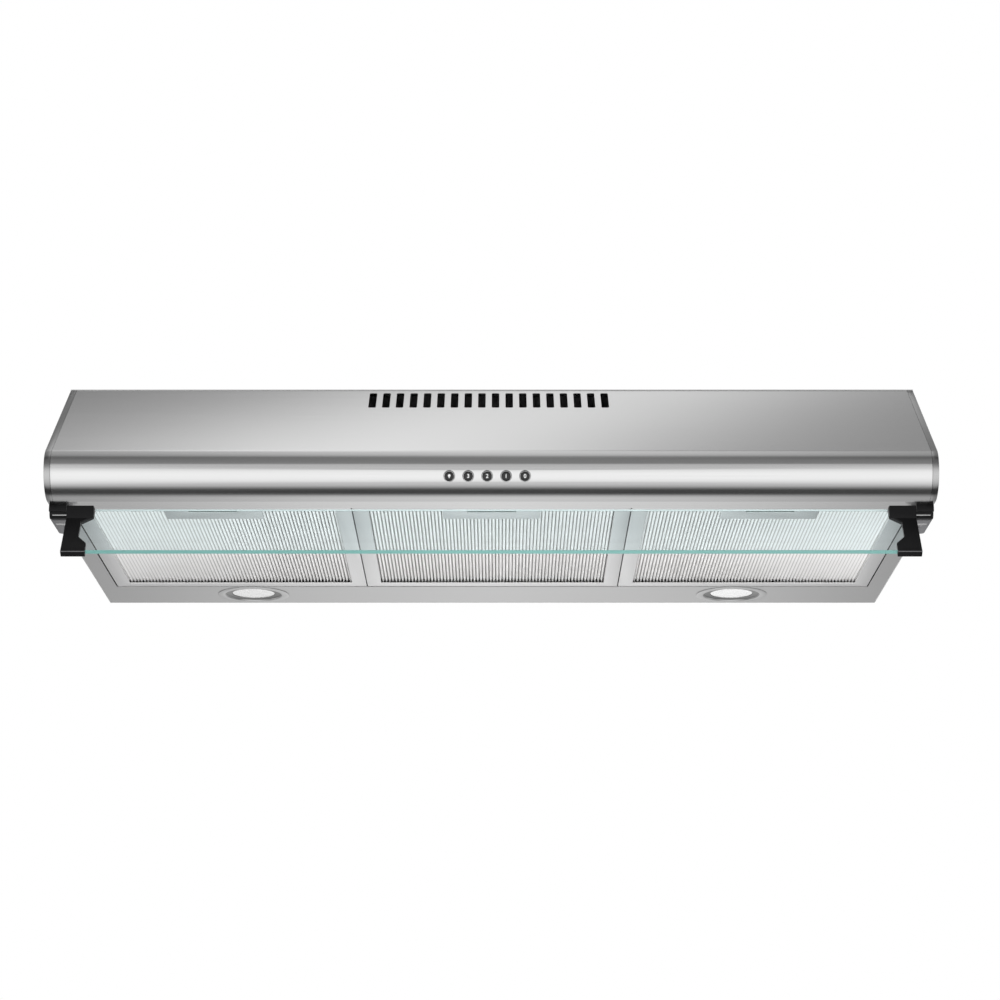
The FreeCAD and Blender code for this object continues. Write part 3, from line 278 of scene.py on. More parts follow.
meshLow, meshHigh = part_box("filter_mesh_middle")
finishes = {
    "brushed_front": brushedMetal("brushedFront", 0.56, 0.22),
    "brushed_pan": brushedMetal("brushedPan", 0.52, 0.34),
    "shell_metal": castMetal("paintedShell", 0.50, 0.42, 700, 0.3),
    "cap_silver": castMetal("capSilver", 0.36, 0.17, 1500),
    "filter_aluminium": brushedMetal("filterAluminium", 0.80, 0.42, (900, 5, 900)),
    "mesh_aluminium": pleatedMesh("meshAluminium", meshLow.z, meshHigh.z),
    "latch_grey": mouldedPlastic("latchGrey", (0.54, 0.61, 0.57), 0.42),
    "bracket_grey": mouldedPlastic("bracketGrey", (0.115, 0.115, 0.12), 0.5),
    "black_plastic": mouldedPlastic("blackPlastic", (0.005, 0.005, 0.0055), 0.45, gloss=0.18),
    "visor_clear": clearGlass("visorClear"),
    "button_chrome": castMetal("buttonChrome", 0.80, 0.09, 2500, depth=0.00001),
    "bezel_satin": castMetal("bezelSatin", 0.53, 0.32, 1800),
    "lens_white": frostedLens("lensFrosted", 0.0042),
    "lamp_metal": castMetal("lampMetal", 0.55, 0.35, 900),
    "zinc_sheet": zincMetal("zincSheet"),
    "motor_iron": castMetal("motorIron", 0.28, 0.50, 500),
    "bare_steel": castMetal("bareSteel", 0.58, 0.25, 1600),
    "bush_brass": castMetal("bushBrass", 0.50, 0.28, 1400, warmth=0.35),
    "wheel_plastic": mouldedPlastic("wheelPlastic", (0.42, 0.43, 0.44), 0.5),
    "duct_grey": mouldedPlastic("ductGrey", (0.16, 0.165, 0.17), 0.45),
    "box_white": mouldedPlastic("boxWhite", (0.74, 0.74, 0.72), 0.45),
}
edgeFinish = glassEdge("visorEdge", (0.14, 0.32, 0.295), (0.19, 0.39, 0.365))
# painted highlight: the pane's rear edge gets a lighter copy of the edge colour, for the bright line where it
# catches the light
rearHighlightFinish = glassEdge("visorRearEdgeHighlight", (0.58, 0.66, 0.66), (0.70, 0.77, 0.77))
# painted highlight: a grey lighter than the black plastic, for the light that the front edges of the arms' feet
# catch
footHighlightFinish = mouldedPlastic("paintedPlasticHighlight", (0.09, 0.09, 0.095), 0.3)
inkFinish = mouldedPlastic("glyphInk", (0.80, 0.80, 0.80), 0.5)
# painted shade: a dark grey for the inside of the lamp bezel's groove, where the shade falls
paintedGrooveShade = castMetal("grooveShade", 0.20, 0.35, 1800)
faceFinish = castMetal("buttonFace", 0.035, 0.12, 2500, depth=0.00001)
slotOf = {part["node"]: part["material_slot"] for part in record["subparts"]}
print("finishes made,", len(finishes))


# modelling tools

def deselectAll():
    if bpy.context.object and bpy.context.object.mode != "OBJECT":
        bpy.ops.object.mode_set(mode="OBJECT")
    bpy.ops.object.select_all(action="DESELECT")


def selectOnly(piece):
    deselectAll()
    piece.select_set(True)
    bpy.context.view_layer.objects.active = piece


def named(name):
    piece = bpy.context.object
    piece.name = name
    piece.data.name = name
    return piece


def pickFaces(piece, test):
    # edit mode, with the faces whose centre and normal pass the test selected
    selectOnly(piece)
    bpy.ops.object.mode_set(mode="EDIT")
    bpy.ops.mesh.select_mode(type="FACE")
    bpy.ops.mesh.select_all(action="DESELECT")
    edit = bmesh.from_edit_mesh(piece.data)
    for face in edit.faces:
        face.select_set(bool(test(face.calc_center_median(), face.normal)))
    bmesh.update_edit_mesh(piece.data)


def pickEdges(piece, test):
    selectOnly(piece)
    bpy.ops.object.mode_set(mode="EDIT")
    bpy.ops.mesh.select_mode(type="EDGE")
    bpy.ops.mesh.select_all(action="DESELECT")
    edit = bmesh.from_edit_mesh(piece.data)
    for edge in edit.edges:
        edge.select_set(bool(test(edge.verts[0].co, edge.verts[1].co)))
    bmesh.update_edit_mesh(piece.data)


def leaveEdit():
    bpy.ops.object.mode_set(mode="OBJECT")


def extrudeBy(x, y, z):
    bpy.ops.mesh.extrude_region_move(TRANSFORM_OT_translate={"value": (x, y, z)})


def modify(piece, kind, **settings):
    selectOnly(piece)
    modifier = piece.modifiers.new(kind.lower(), kind)
    for name, value in settings.items():
        setattr(modifier, name, value)
    bpy.ops.object.modifier_apply(modifier=modifier.name)


def roundEdges(piece, width, segments=2, angle=35):
    modify(piece, "BEVEL", width=width, segments=segments, limit_method="ANGLE",
           angle_limit=math.radians(angle))
    smooth(piece, angle)


def smooth(piece, angle=35):
    selectOnly(piece)
    bpy.ops.object.shade_smooth_by_angle(angle=math.radians(angle))


def joined(pieces, name):
    deselectAll()
    for piece in pieces:
        piece.select_set(True)
    bpy.context.view_layer.objects.active = pieces[0]
    bpy.ops.object.join()
    return named(name)


def setPlace(piece, matrix):
    # the place goes into the mesh, and the object stays at the origin
    piece.data.transform(matrix @ piece.matrix_basis)
    piece.matrix_basis = Matrix.Identity(4)


def hand(piece, body, slotName, *nodes, finish=None):
    # the piece gets its finish, its body and the nodes that it stands for
    piece.data.materials.clear()
    piece.data.materials.append(finish or finishes[slotName])
    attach(piece, body)
    if nodes:
        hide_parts(*nodes)


cadMesh = {
    "mergeGap": 0.002 * mm,
    "flatAngle": math.radians(0.4),  # between faces that become one
}


def softCopy(node, width):
    # the node's own form with its sharp edges broken
    source = frame["nodes"][node]
    piece = bpy.data.objects.new(node + "_finished", source.data.copy())
    bpy.context.scene.collection.objects.link(piece)
    selectOnly(piece)
    bpy.ops.object.mode_set(mode="EDIT")
    bpy.ops.mesh.customdata_custom_splitnormals_clear()
    bpy.ops.mesh.select_all(action="SELECT")
    bpy.ops.mesh.remove_doubles(threshold=cadMesh["mergeGap"])
    bpy.ops.mesh.dissolve_limited(angle_limit=cadMesh["flatAngle"])
    leaveEdit()
    roundEdges(piece, width)
    hand(piece, bodyOf[node], slotOf[node], node)


# pieces that keep their form and get broken edges

edgeWidths = {
    "end_cap_left": 0.5 * mm,
    "end_cap_right": 0.5 * mm,
    "hinge_barrel_left": 0.7 * mm,
    "hinge_barrel_right": 0.7 * mm,
    "hinge_bracket_left": 0.8 * mm,
    "hinge_bracket_right": 0.8 * mm,
    "filter_frame_left": 0.35 * mm,
    "filter_frame_middle": 0.35 * mm,
    "filter_frame_right": 0.35 * mm,
    "filter_mesh_left": 0.35 * mm,
    "filter_mesh_middle": 0.35 * mm,
    "filter_mesh_right": 0.35 * mm,
    "filter_handle_left": 0.5 * mm,
    "filter_handle_middle": 0.5 * mm,
    "filter_handle_right": 0.5 * mm,
    "filter_latch_left": 0.4 * mm,
    "filter_latch_middle": 0.4 * mm,
    "filter_latch_right": 0.4 * mm,
    "duct_collar": 0.5 * mm,
    "cable_gland": 0.5 * mm,
}
for node, width in edgeWidths.items():
    softCopy(node, width)
print("edges broken on", len(edgeWidths), "pieces")


# push buttons

button = {
    "capRadius": 5.3 * mm,
    "capDepth": 7.0 * mm,        # behind the panel
    "proud": 1.75 * mm,          # in front of the panel
    "shoulder": 0.3 * mm,        # rounded edge of the cap
    "dishRings": ((0.4 * mm, 0.30 * mm), (0.8 * mm, 0.26 * mm), (0.9 * mm, 0.18 * mm), (0.9 * mm, 0.06 * mm)),
    "stemRadius": 3.0 * mm,
    "stemLength": 15.0 * mm,
    "figureHeight": 5.6 * mm,
    "figureDepth": 0.30 * mm,
    "figureWeight": 0.05 * mm,   # added to the strokes
    "figureSink": 1.8,           # figure depths below the top of the cap
}
bulbSign = {
    "globe": 0.24,               # radius, as a share of the figures' height
    "rise": 0.45,                # the rest as shares of that radius
    "wall": 0.3,
    "capDrop": 1.05,
    "capWidth": 0.9,
    "capHeight": 0.8,
    "capTaper": 0.6,
    "slant": 0.02 * mm,
}
figures = {"button_lamp": None, "button_three": "3", "button_two": "2", "button_one": "1", "button_zero": "0"}


def buttonPlace(node):
    # the panel's surface on the button's axis, with local Z pointing out of the panel
    low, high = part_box(node)
    inward = Vector(joints[node + "_press"]["axis"])
    angle = math.atan2(inward.z, inward.y)
    back = Vector(((low.x + high.x) / 2, high.y, high.z))
    corner = Vector((0, math.sin(angle), -math.cos(angle))) * button["stemRadius"]
    stemEnd = back - Vector((0, abs(corner.y), abs(corner.z)))
    surface = stemEnd - inward * (button["capDepth"] + button["stemLength"])
    turn = Matrix.Rotation(math.pi / 2 + angle, 4, "X")
    return Matrix.Translation(surface) @ turn


def makeButton(node):
    b = button
    deselectAll()
    depth = b["capDepth"] + b["proud"]
    bpy.ops.mesh.primitive_cylinder_add(vertices=48, radius=b["capRadius"], depth=depth,
                                        location=(0, 0, b["proud"] - depth / 2))
    piece = named(node + "_cap")
    bpy.ops.object.transform_apply(location=True)
    pickEdges(piece, lambda a, c: a.z > 0 and c.z > 0)
    bpy.ops.mesh.bevel(offset=b["shoulder"], segments=6, affect="EDGES", profile=0.6)
    leaveEdit()
    pickFaces(piece, lambda centre, normal: normal.z > squareOn and centre.xy.length < mm)
    for width, sink in b["dishRings"]:
        bpy.ops.mesh.inset(thickness=width, depth=-sink)
    leaveEdit()
    pickFaces(piece, lambda centre, normal: normal.z < -squareOn and centre.xy.length < mm)
    bpy.ops.mesh.inset(thickness=b["capRadius"] - b["stemRadius"], depth=0)
    extrudeBy(0, 0, -b["stemLength"])
    leaveEdit()
    smooth(piece, 50)
    reach = b["capRadius"] - b["shoulder"]
    dish = [face.index for face in piece.data.polygons if face.center.z > 0 and face.center.xy.length < reach]
    setPlace(piece, buttonPlace(node))
    hand(piece, bodyOf[node], slotOf[node], node)
    piece.data.materials.append(faceFinish)
    for index in dish:
        piece.data.polygons[index].material_index = 1


def makeNumber(node, text):
    deselectAll()
    bpy.ops.object.text_add()
    piece = bpy.context.object
    piece.data.body = text
    piece.data.align_x = "CENTER"
    piece.data.align_y = "CENTER"
    piece.data.size = button["figureHeight"]
    piece.data.extrude = button["figureDepth"]
    piece.data.offset = button["figureWeight"]
    bpy.ops.object.convert(target="MESH")
    return named(node + "_figure")


def makeLampSign(node):
    # a bulb on its cap
    s = bulbSign
    bulb = button["figureHeight"] * s["globe"]
    deselectAll()
    bpy.ops.mesh.primitive_cylinder_add(vertices=24, radius=bulb, depth=2 * button["figureDepth"],
                                        location=(0, bulb * s["rise"], 0))
    globe = bpy.context.object
    bpy.ops.object.transform_apply(location=True)
    pickFaces(globe, lambda centre, normal: normal.z > squareOn)
    bpy.ops.mesh.inset(thickness=bulb * s["wall"], depth=0)
    bpy.ops.mesh.inset(thickness=s["slant"], depth=-button["figureDepth"])
    leaveEdit()
    deselectAll()
    bpy.ops.mesh.primitive_cube_add(size=1, location=(0, -bulb * s["capDrop"], 0),
                                    scale=(bulb * s["capWidth"], bulb * s["capHeight"],
                                           2 * button["figureDepth"]))
    cap = bpy.context.object
    bpy.ops.object.transform_apply(location=True, scale=True)
    pickFaces(cap, lambda centre, normal: normal.y < -squareOn)
    bpy.ops.transform.resize(value=(s["capTaper"], 1, 1))
    leaveEdit()
    return joined([globe, cap], node + "_figure")


for node, text in figures.items():
    makeButton(node)
    figure = makeNumber(node, text) if text else makeLampSign(node)
    lift = Matrix.Translation((0, 0, button["proud"] - button["figureSink"] * button["figureDepth"]))
    setPlace(figure, buttonPlace(node) @ lift)
    smooth(figure)
    hand(figure, bodyOf[node], slotOf[node], finish=inkFinish)
print("buttons made,", len(figures))


# visor

pivot = Vector(joints["visor_hinge"]["pos_m"])
visor = {
    "tilt": math.radians(53),        # below level when open
    "armThickness": 7.3 * mm,
    "armReach": 64.5 * mm,
    "clawWidth": 27.5 * mm,
    "clawLength": 7.5 * mm,
    "strutWidth": 15.5 * mm,
    "strutStart": 17.0 * mm,
    "strutEnd": 40.5 * mm,
    "footWidth": 24.5 * mm,
    "footStart": 51.0 * mm,
    "clawBack": 4.4 * mm,            # behind the hinge axis
    "blockFront": 10.2 * mm,         # of the hinge block, ahead of the axis
    "blockTop": 6.0 * mm,
    "blockFoot": -7.6 * mm,
    "edge": 0.7 * mm,
    "glassThickness": 4.6 * mm,
    "glassBack": 4.2 * mm,
    "glassFront": 61.4 * mm,
    "glassCorner": 3.0 * mm,
    "glassEdge": 0.35 * mm,
}
visorPlace = Matrix.Translation(pivot) @ Matrix.Rotation(visor["tilt"], 4, "X")


def makeArm(name, side):
    # the arm lies level, reaching to -Y from the hinge axis; outer is its face beside the barrel
    v = visor
    low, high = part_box("visor_arm_" + name)
    outer = high.x if side > 0 else low.x

    deselectAll()
    length = v["strutEnd"] - v["strutStart"]
    bpy.ops.mesh.primitive_cube_add(size=1, location=(outer - side * v["strutWidth"] / 2,
                                                      -v["strutStart"] - length / 2, 0),
                                    scale=(v["strutWidth"], length, v["armThickness"]))
    piece = named("visor_arm_" + name + "_finished")
    bpy.ops.object.transform_apply(location=True, scale=True)
    stretches = [
        (1, v["strutStart"] - v["clawLength"], v["clawWidth"]),
        (1, v["clawLength"] + v["clawBack"], v["clawWidth"]),
        (-1, v["footStart"] - v["strutEnd"], v["footWidth"]),
        (-1, v["armReach"] - v["footStart"], v["footWidth"]),
    ]
    for way, reach, width in stretches:
        ends = [vertex.co.y for vertex in piece.data.vertices]
        end = max(ends) if way > 0 else min(ends)
        pickFaces(piece, lambda centre, normal: abs(centre.y - end) < tiny and normal.y * way > squareOn)
        extrudeBy(0, way * reach, 0)
        bpy.ops.mesh.select_mode(type="VERT")
        edit = bmesh.from_edit_mesh(piece.data)
        for vertex in edit.verts:
            isInner = vertex.select and abs(vertex.co.x - outer) > tiny
            vertex.select_set(isInner)
            if isInner:
                shift = outer - side * width - vertex.co.x
        edit.select_flush_mode()
        bmesh.update_edit_mesh(piece.data)
        bpy.ops.transform.translate(value=(shift, 0, 0))
        leaveEdit()
    deselectAll()
    bpy.ops.mesh.primitive_cube_add(size=1, location=(outer - side * v["clawWidth"] / 2,
                                                      -v["blockFront"] / 2, 0),
                                    scale=(v["clawWidth"], v["blockFront"], v["blockTop"] - v["blockFoot"]))
    block = bpy.context.object
    bpy.ops.object.transform_apply(location=True, scale=True)
    setPlace(block, Matrix.Translation((0, 0, (v["blockTop"] + v["blockFoot"]) / 2)))
    pickEdges(block, lambda a, c: a.y > -mm and c.y > -mm and a.z < 0 and c.z < 0)
    bpy.ops.transform.translate(value=(0, 0, -v["blockFoot"]))
    leaveEdit()
    roundEdges(block, v["edge"], 3)
    roundEdges(piece, v["edge"], 3)
    # the sloping faces at the front of the foot get the painted highlight
    highlightFaces = [face.index for face in piece.data.polygons
             if face.center.y < v["edge"] - v["armReach"] and face.normal.y < -0.2 and face.normal.z > 0.2]
    setPlace(block, Matrix.Translation(pivot))
    setPlace(piece, visorPlace)
    piece = joined([piece, block], piece.name)
    hand(piece, "visor", slotOf["visor_arm_" + name], "visor_arm_" + name)
    piece.data.materials.append(footHighlightFinish)
    for index in highlightFaces:
        piece.data.polygons[index].material_index = 1
    piece.visible_glossy = False         # kept out of what the steel mirrors


def makeGlass():
    v = visor
    low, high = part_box("visor_glass")
    deselectAll()
    length = v["glassBack"] + v["glassFront"]
    bpy.ops.mesh.primitive_cube_add(size=1, location=(0, v["glassBack"] - length / 2, 0),
                                    scale=(high.x - low.x, length, v["glassThickness"]))
    piece = named("visor_pane")
    bpy.ops.object.transform_apply(location=True, scale=True)
    pickEdges(piece, lambda a, c: abs(a.z - c.z) > tiny)
    bpy.ops.mesh.bevel(offset=v["glassCorner"], segments=5, affect="EDGES")
    leaveEdit()
    modify(piece, "BEVEL", width=v["glassEdge"], segments=2, limit_method="ANGLE",
           angle_limit=math.radians(60))
    setPlace(piece, visorPlace)
    hand(piece, "visor", slotOf["visor_glass"], "visor_glass")
    piece.visible_shadow = False         # light passes the pane
    piece.visible_diffuse = False
    piece.visible_glossy = False
    piece.data.materials.append(edgeFinish)
    piece.data.materials.append(rearHighlightFinish)
    faceNormal = visorPlace.to_3x3() @ Vector((0, 0, 1))
    rearWay = visorPlace.to_3x3() @ Vector((0, 1, 0))
    # the rear edge faces take the painted highlight, the other edge faces the green edge colour
    for face in piece.data.polygons:
        if abs(face.normal.dot(faceNormal)) < 0.95:
            face.material_index = 2 if face.normal.dot(rearWay) > 0.5 else 1


for name, side in sides.items():
    makeArm(name, side)
makeGlass()
print("visor made")


# steel leaf that tightens each hinge, seen on the underside of its bracket

leaf = {
    "fromEnd": 3.0 * mm,             # side of the hood to the leaf
    "fromFront": 16.0 * mm,          # front of the bracket to the leaf
    "length": 11.0 * mm,
    "width": 3.2 * mm,
    "height": 1.0 * mm,
    "rim": 0.5 * mm,
    "rimStep": 0.25 * mm,
    "edge": 0.15 * mm,
}


def makeLeaf(name, side):
    low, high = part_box("hinge_bracket_" + name)
    middle = (low.x if side < 0 else high.x) - side * (leaf["fromEnd"] + leaf["length"] / 2)
    deselectAll()
    bpy.ops.mesh.primitive_cube_add(size=1, location=(middle, low.y + leaf["fromFront"], low.z),
                                    scale=(leaf["length"], leaf["width"], leaf["height"]))
    piece = named("hinge_leaf_" + name)
    bpy.ops.object.transform_apply(location=True, scale=True)
    pickFaces(piece, lambda centre, normal: normal.z < -squareOn)
    bpy.ops.mesh.inset(thickness=leaf["rim"], depth=leaf["rimStep"])
    leaveEdit()
    roundEdges(piece, leaf["edge"])
    hand(piece, "hood", slotOf["screws"])


for name, side in sides.items():
    makeLeaf(name, side)
print("leaves made")


# spring wire along the front of each barrel

wire = {
    "fromEnd": 3.0 * mm,
    "length": 15.0 * mm,
    "radius": 0.7 * mm,
    "around": math.radians(209),     # its place on the barrel, from the rear over the top
    "barrelRadius": 5.8 * mm,
    "endRound": 0.3 * mm,
}


def makeWire(name, side):
    w = wire
    low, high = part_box("hinge_barrel_" + name)
    middle = (low.x if side < 0 else high.x) - side * (w["fromEnd"] + w["length"] / 2)
    deselectAll()
    bpy.ops.mesh.primitive_cylinder_add(vertices=16, radius=w["radius"], depth=w["length"],
                                        rotation=(0, math.pi / 2, 0))
    piece = named("hinge_wire_" + name)
    bpy.ops.object.transform_apply(rotation=True)
    roundEdges(piece, w["endRound"], 3, 60)
    reach = Vector((0, math.cos(w["around"]), math.sin(w["around"]))) * w["barrelRadius"]
    setPlace(piece, Matrix.Translation(Vector((middle, pivot.y, pivot.z)) + reach))
    hand(piece, "hood", slotOf["screws"])


for name, side in sides.items():
    makeWire(name, side)
print("wires made")


# lamps

lamp = {
    "bezelRadius": 41.0 * mm,
    "flange": 0.6 * mm,              # below the pan
    "grooveRadius": 32.7 * mm,
    "grooveSlant": 0.6 * mm,
    "grooveDepth": 1.7 * mm,
    "eyeRadius": 24.6 * mm,
    "eyeDepth": 1.2 * mm,
    "neckRadius": 35.5 * mm,
    "lensRadius": 24.3 * mm,
    "lensSink": 0.4 * mm,            # above the CAD lens's lower face
    "lensDepth": 1.6 * mm,
    "lensCrown": 0.5 * mm,
    "lensEdge": 0.5 * mm,
    "lensRings": 4,
    "ringWidth": 4.9 * mm,
    "bezelEdge": 0.2 * mm,
}


def downFaces(piece, radius):
    pickFaces(piece, lambda centre, normal: normal.z < -squareOn and centre.xy.length < radius)


def makeBezel(name):
    low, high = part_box("lamp_bezel_" + name)
    deselectAll()
    bpy.ops.mesh.primitive_cylinder_add(vertices=72, radius=lamp["bezelRadius"], depth=lamp["flange"],
                                        location=(0, 0, lamp["flange"] / 2))
    piece = named("lamp_bezel_" + name + "_finished")
    bpy.ops.object.transform_apply(location=True)
    pickFaces(piece, lambda centre, normal: normal.z > squareOn)
    bpy.ops.mesh.inset(thickness=lamp["bezelRadius"] - lamp["neckRadius"], depth=0)
    extrudeBy(0, 0, high.z - low.z - lamp["flange"])
    leaveEdit()
    downFaces(piece, mm)
    bpy.ops.mesh.inset(thickness=lamp["bezelRadius"] - lamp["grooveRadius"], depth=0)
    bpy.ops.mesh.inset(thickness=lamp["grooveSlant"], depth=-lamp["grooveDepth"])
    bpy.ops.mesh.inset(thickness=lamp["grooveRadius"] - lamp["grooveSlant"] - lamp["eyeRadius"], depth=0)
    extrudeBy(0, 0, lamp["eyeDepth"])
    leaveEdit()
    roundEdges(piece, lamp["bezelEdge"], 2, 25)
    # the groove's floor and inner walls take the painted shade
    inside = [face.index for face in piece.data.polygons
              if face.center.z > lamp["grooveDepth"] * 0.95 and face.normal.z < 0.5
              and face.center.xy.length < lamp["grooveRadius"] - lamp["grooveSlant"]]
    setPlace(piece, Matrix.Translation(((low.x + high.x) / 2, (low.y + high.y) / 2, low.z)))
    hand(piece, "hood", slotOf["lamp_bezel_" + name], "lamp_bezel_" + name)
    piece.data.materials.append(paintedGrooveShade)
    for index in inside:
        piece.data.polygons[index].material_index = 1


def makeLens(name):
    low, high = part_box("lamp_lens_" + name)
    deselectAll()
    bpy.ops.mesh.primitive_cylinder_add(vertices=64, radius=lamp["lensRadius"], depth=lamp["lensDepth"],
                                        location=(0, 0, lamp["lensDepth"] / 2))
    piece = named("lamp_lens_" + name + "_finished")
    bpy.ops.object.transform_apply(location=True)
    pickEdges(piece, lambda a, c: a.z < tiny and c.z < tiny)
    bpy.ops.mesh.bevel(offset=lamp["lensEdge"], segments=3, affect="EDGES")
    leaveEdit()
    downFaces(piece, mm)
    for _ in range(lamp["lensRings"]):
        bpy.ops.mesh.inset(thickness=lamp["ringWidth"], depth=0)
    leaveEdit()
    for vertex in piece.data.vertices:
        share = (vertex.co.xy.length / lamp["lensRadius"]) ** 2
        if vertex.co.z < lamp["lensDepth"] / 2:
            vertex.co.z += lamp["lensCrown"] * (1 - share)
    smooth(piece, 30)
    setPlace(piece, Matrix.Translation(((low.x + high.x) / 2, (low.y + high.y) / 2,
                                        low.z + lamp["lensSink"])))
    hand(piece, "hood", slotOf["lamp_lens_" + name], "lamp_lens_" + name)


for name in sides:
    makeBezel(name)
    makeLens(name)
print("lamps made")


# screws with a crossed slot

screw = {
    "headRadius": 3.6 * mm,
    "headHeight": 2.2 * mm,
    "shankRadius": 1.9 * mm,
    "shankLength": 8.0 * mm,
    "slotWidth": 0.9 * mm,
    "slotLength": 3.8 * mm,
    "slotDepth": 0.9 * mm,
    "crown": 1.1 * mm,           # rounded edge of the head
    "tip": 0.8,                  # share of the shank's radius
    "circle": 67.5 * mm,         # of the collar's four screws
}


def makeScrew():
    # head upwards, its seat at zero
    s = screw
    deselectAll()
    bpy.ops.mesh.primitive_cylinder_add(vertices=32, radius=s["headRadius"], depth=s["headHeight"],
                                        location=(0, 0, s["headHeight"] / 2))
    head = bpy.context.object
    bpy.ops.object.transform_apply(location=True)
    pickEdges(head, lambda a, c: a.z > tiny and c.z > tiny)
    bpy.ops.mesh.bevel(offset=s["crown"], segments=4, affect="EDGES")
    leaveEdit()
    pickFaces(head, lambda centre, normal: normal.z < -squareOn)
    bpy.ops.mesh.inset(thickness=s["headRadius"] - s["shankRadius"], depth=0)
    extrudeBy(0, 0, -s["shankLength"])
    bpy.ops.transform.resize(value=(s["tip"], s["tip"], 1))
    leaveEdit()
    cutters = []
    for turn in (0, math.pi / 2):
        deselectAll()
        bpy.ops.mesh.primitive_cube_add(size=1, location=(0, 0, s["headHeight"]), rotation=(0, 0, turn),
                                        scale=(s["slotLength"], s["slotWidth"], 2 * s["slotDepth"]))
        cutters.append(bpy.context.object)
        bpy.ops.object.transform_apply(location=True, rotation=True, scale=True)
    for cutter in cutters:
        modify(head, "BOOLEAN", operation="DIFFERENCE", object=cutter, solver="EXACT")
        bpy.data.objects.remove(cutter)
    smooth(head, 30)
    return head


def makeScrews():
    pattern = makeScrew()
    collarLow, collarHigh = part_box("duct_collar")
    low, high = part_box("screws")
    centre = (collarLow + collarHigh) / 2
    reach = screw["circle"] * math.cos(math.pi / 4)
    upSeat = high.z - screw["headHeight"]
    seats = [Matrix.Translation((centre.x + a * reach, centre.y + b * reach, upSeat))
             for a in (-1, 1) for b in (-1, 1)]
    bracketLow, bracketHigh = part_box("hinge_bracket_right")
    overturn = Matrix.Rotation(math.pi, 4, "X")
    for side in sides.values():
        seats.append(Matrix.Translation((side * (high.x - screw["headRadius"]),
                                         (bracketLow.y + bracketHigh.y) / 2,
                                         low.z + screw["headHeight"])) @ overturn)
    copies = []
    for seat in seats:
        copy = bpy.data.objects.new("screw", pattern.data.copy())
        bpy.context.scene.collection.objects.link(copy)
        setPlace(copy, seat)
        copies.append(copy)
    bpy.data.objects.remove(pattern)
    piece = joined(copies, "screws_finished")
    hand(piece, "hood", slotOf["screws"], "screws")


makeScrews()
print("screws made")


# the other nodes keep their mesh and get their finish

for node, obj in frame["nodes"].items():
    if obj.hide_render:
        continue
    finish = finishes[slotOf[node]]
    if obj.material_slots:
        for place in obj.material_slots:
            place.material = finish
    else:
        obj.data.materials.append(finish)
print("finishes set")


# stage

stage = {
    "floorZ": -1.05,
    "floorSize": 9.0,
    "floorTone": 0.86,
    "floorDrift": 0.98,              # darkest share of that tone
    "floorRough": 0.9,
    "worldFill": 0.55,
}
# a round tent that only the polished metal mirrors: brightness by the angle about the nose, in degrees
# from level in front, and by the place along the width for what lies above and behind
tent = {
    "radius": 1.7,
    "length": 6.0,
    "axis": (0, -0.30, -0.12),
    "angles": ((-180, 0.92), (-171, 1.03), (-163, 1.06), (-150, 0.92), (-126, 1.08), (-113, 0.75), (-105, 0.08),
               (-81, 0.08), (-72.5, 0.50), (-60, 1.05), (-48, 1.36), (-37, 1.55), (-15, 1.55), (-3, 1.22),
               (8, 0.66), (16, 0.36), (26, 0.30), (52, 0.32), (59, 0.42), (66, 0.80), (80, 0.95), (100, 1.05),
               (124, 1.2), (150, 1.2), (180, 0.92)),
    "places": ((-0.95, 0.44), (-0.62, 0.57), (-0.30, 0.86), (0.0, 1.0), (0.35, 0.84), (0.65, 0.55),
               (0.95, 0.44)),
    "front": ((70, 78), (212, 228)),     # ends of the part that is even along the width, degrees from behind
    "peak": 2.0,
}
# a card close to the slope, with a bright band that leans across it
card = {
    "centre": (0, -0.252, -0.056),       # of the slope
    "angle": 123.0,                      # where the slope mirrors, degrees from level in front
    "reach": 0.40,
    "size": (2.2, 0.34),
    "lean": 3.6,                         # shift along the width for each step across the card
    "span": 0.05,                        # either way across the card, where it leans
    "shift": -0.02,
    "level": 0.92,
    "fade": 2.4,                         # less light for each step across the card
    "half": 0.95,
    "levels": ((-0.95, 0.36), (-0.60, 0.40), (-0.40, 0.56), (-0.20, 1.04), (-0.08, 1.30), (0.08, 1.30),
               (0.20, 1.04), (0.40, 0.56), (0.60, 0.40), (0.95, 0.36)),
}
# soft lamps: watts, centre, size, point that they face
softLamps = {
    "front_lamp": (26, (-0.5, -2.6, 0.35), (2.4, 1.1), (0, -0.3, -0.1)),
    "low_lamp": (10.8, (0.2, -0.25, -1.0), (1.5, 0.5), (0, 0, -0.15)),
}


def makeWorld():
    world = bpy.data.worlds.new("studio")
    bpy.context.scene.world = world
    world.use_nodes = True
    shader = Shader(world.node_tree)
    ray = lambda name: shader.add("ShaderNodeLightPath", output=name)
    shown = shader.add("ShaderNodeClamp", sockets={
        "Value": ray("Is Camera Ray") + ray("Is Glossy Ray") + ray("Is Transmission Ray")})
    fill = shader.add("ShaderNodeBackground", sockets={"Color": (1, 1, 1, 1), "Strength": stage["worldFill"]})
    white = shader.add("ShaderNodeBackground", sockets={"Color": (1, 1, 1, 1), "Strength": 1.0})
    mixed = shader.add("ShaderNodeMixShader", sockets={0: shown, 1: fill, 2: white})
    shader.add("ShaderNodeOutputWorld", sockets={"Surface": mixed})


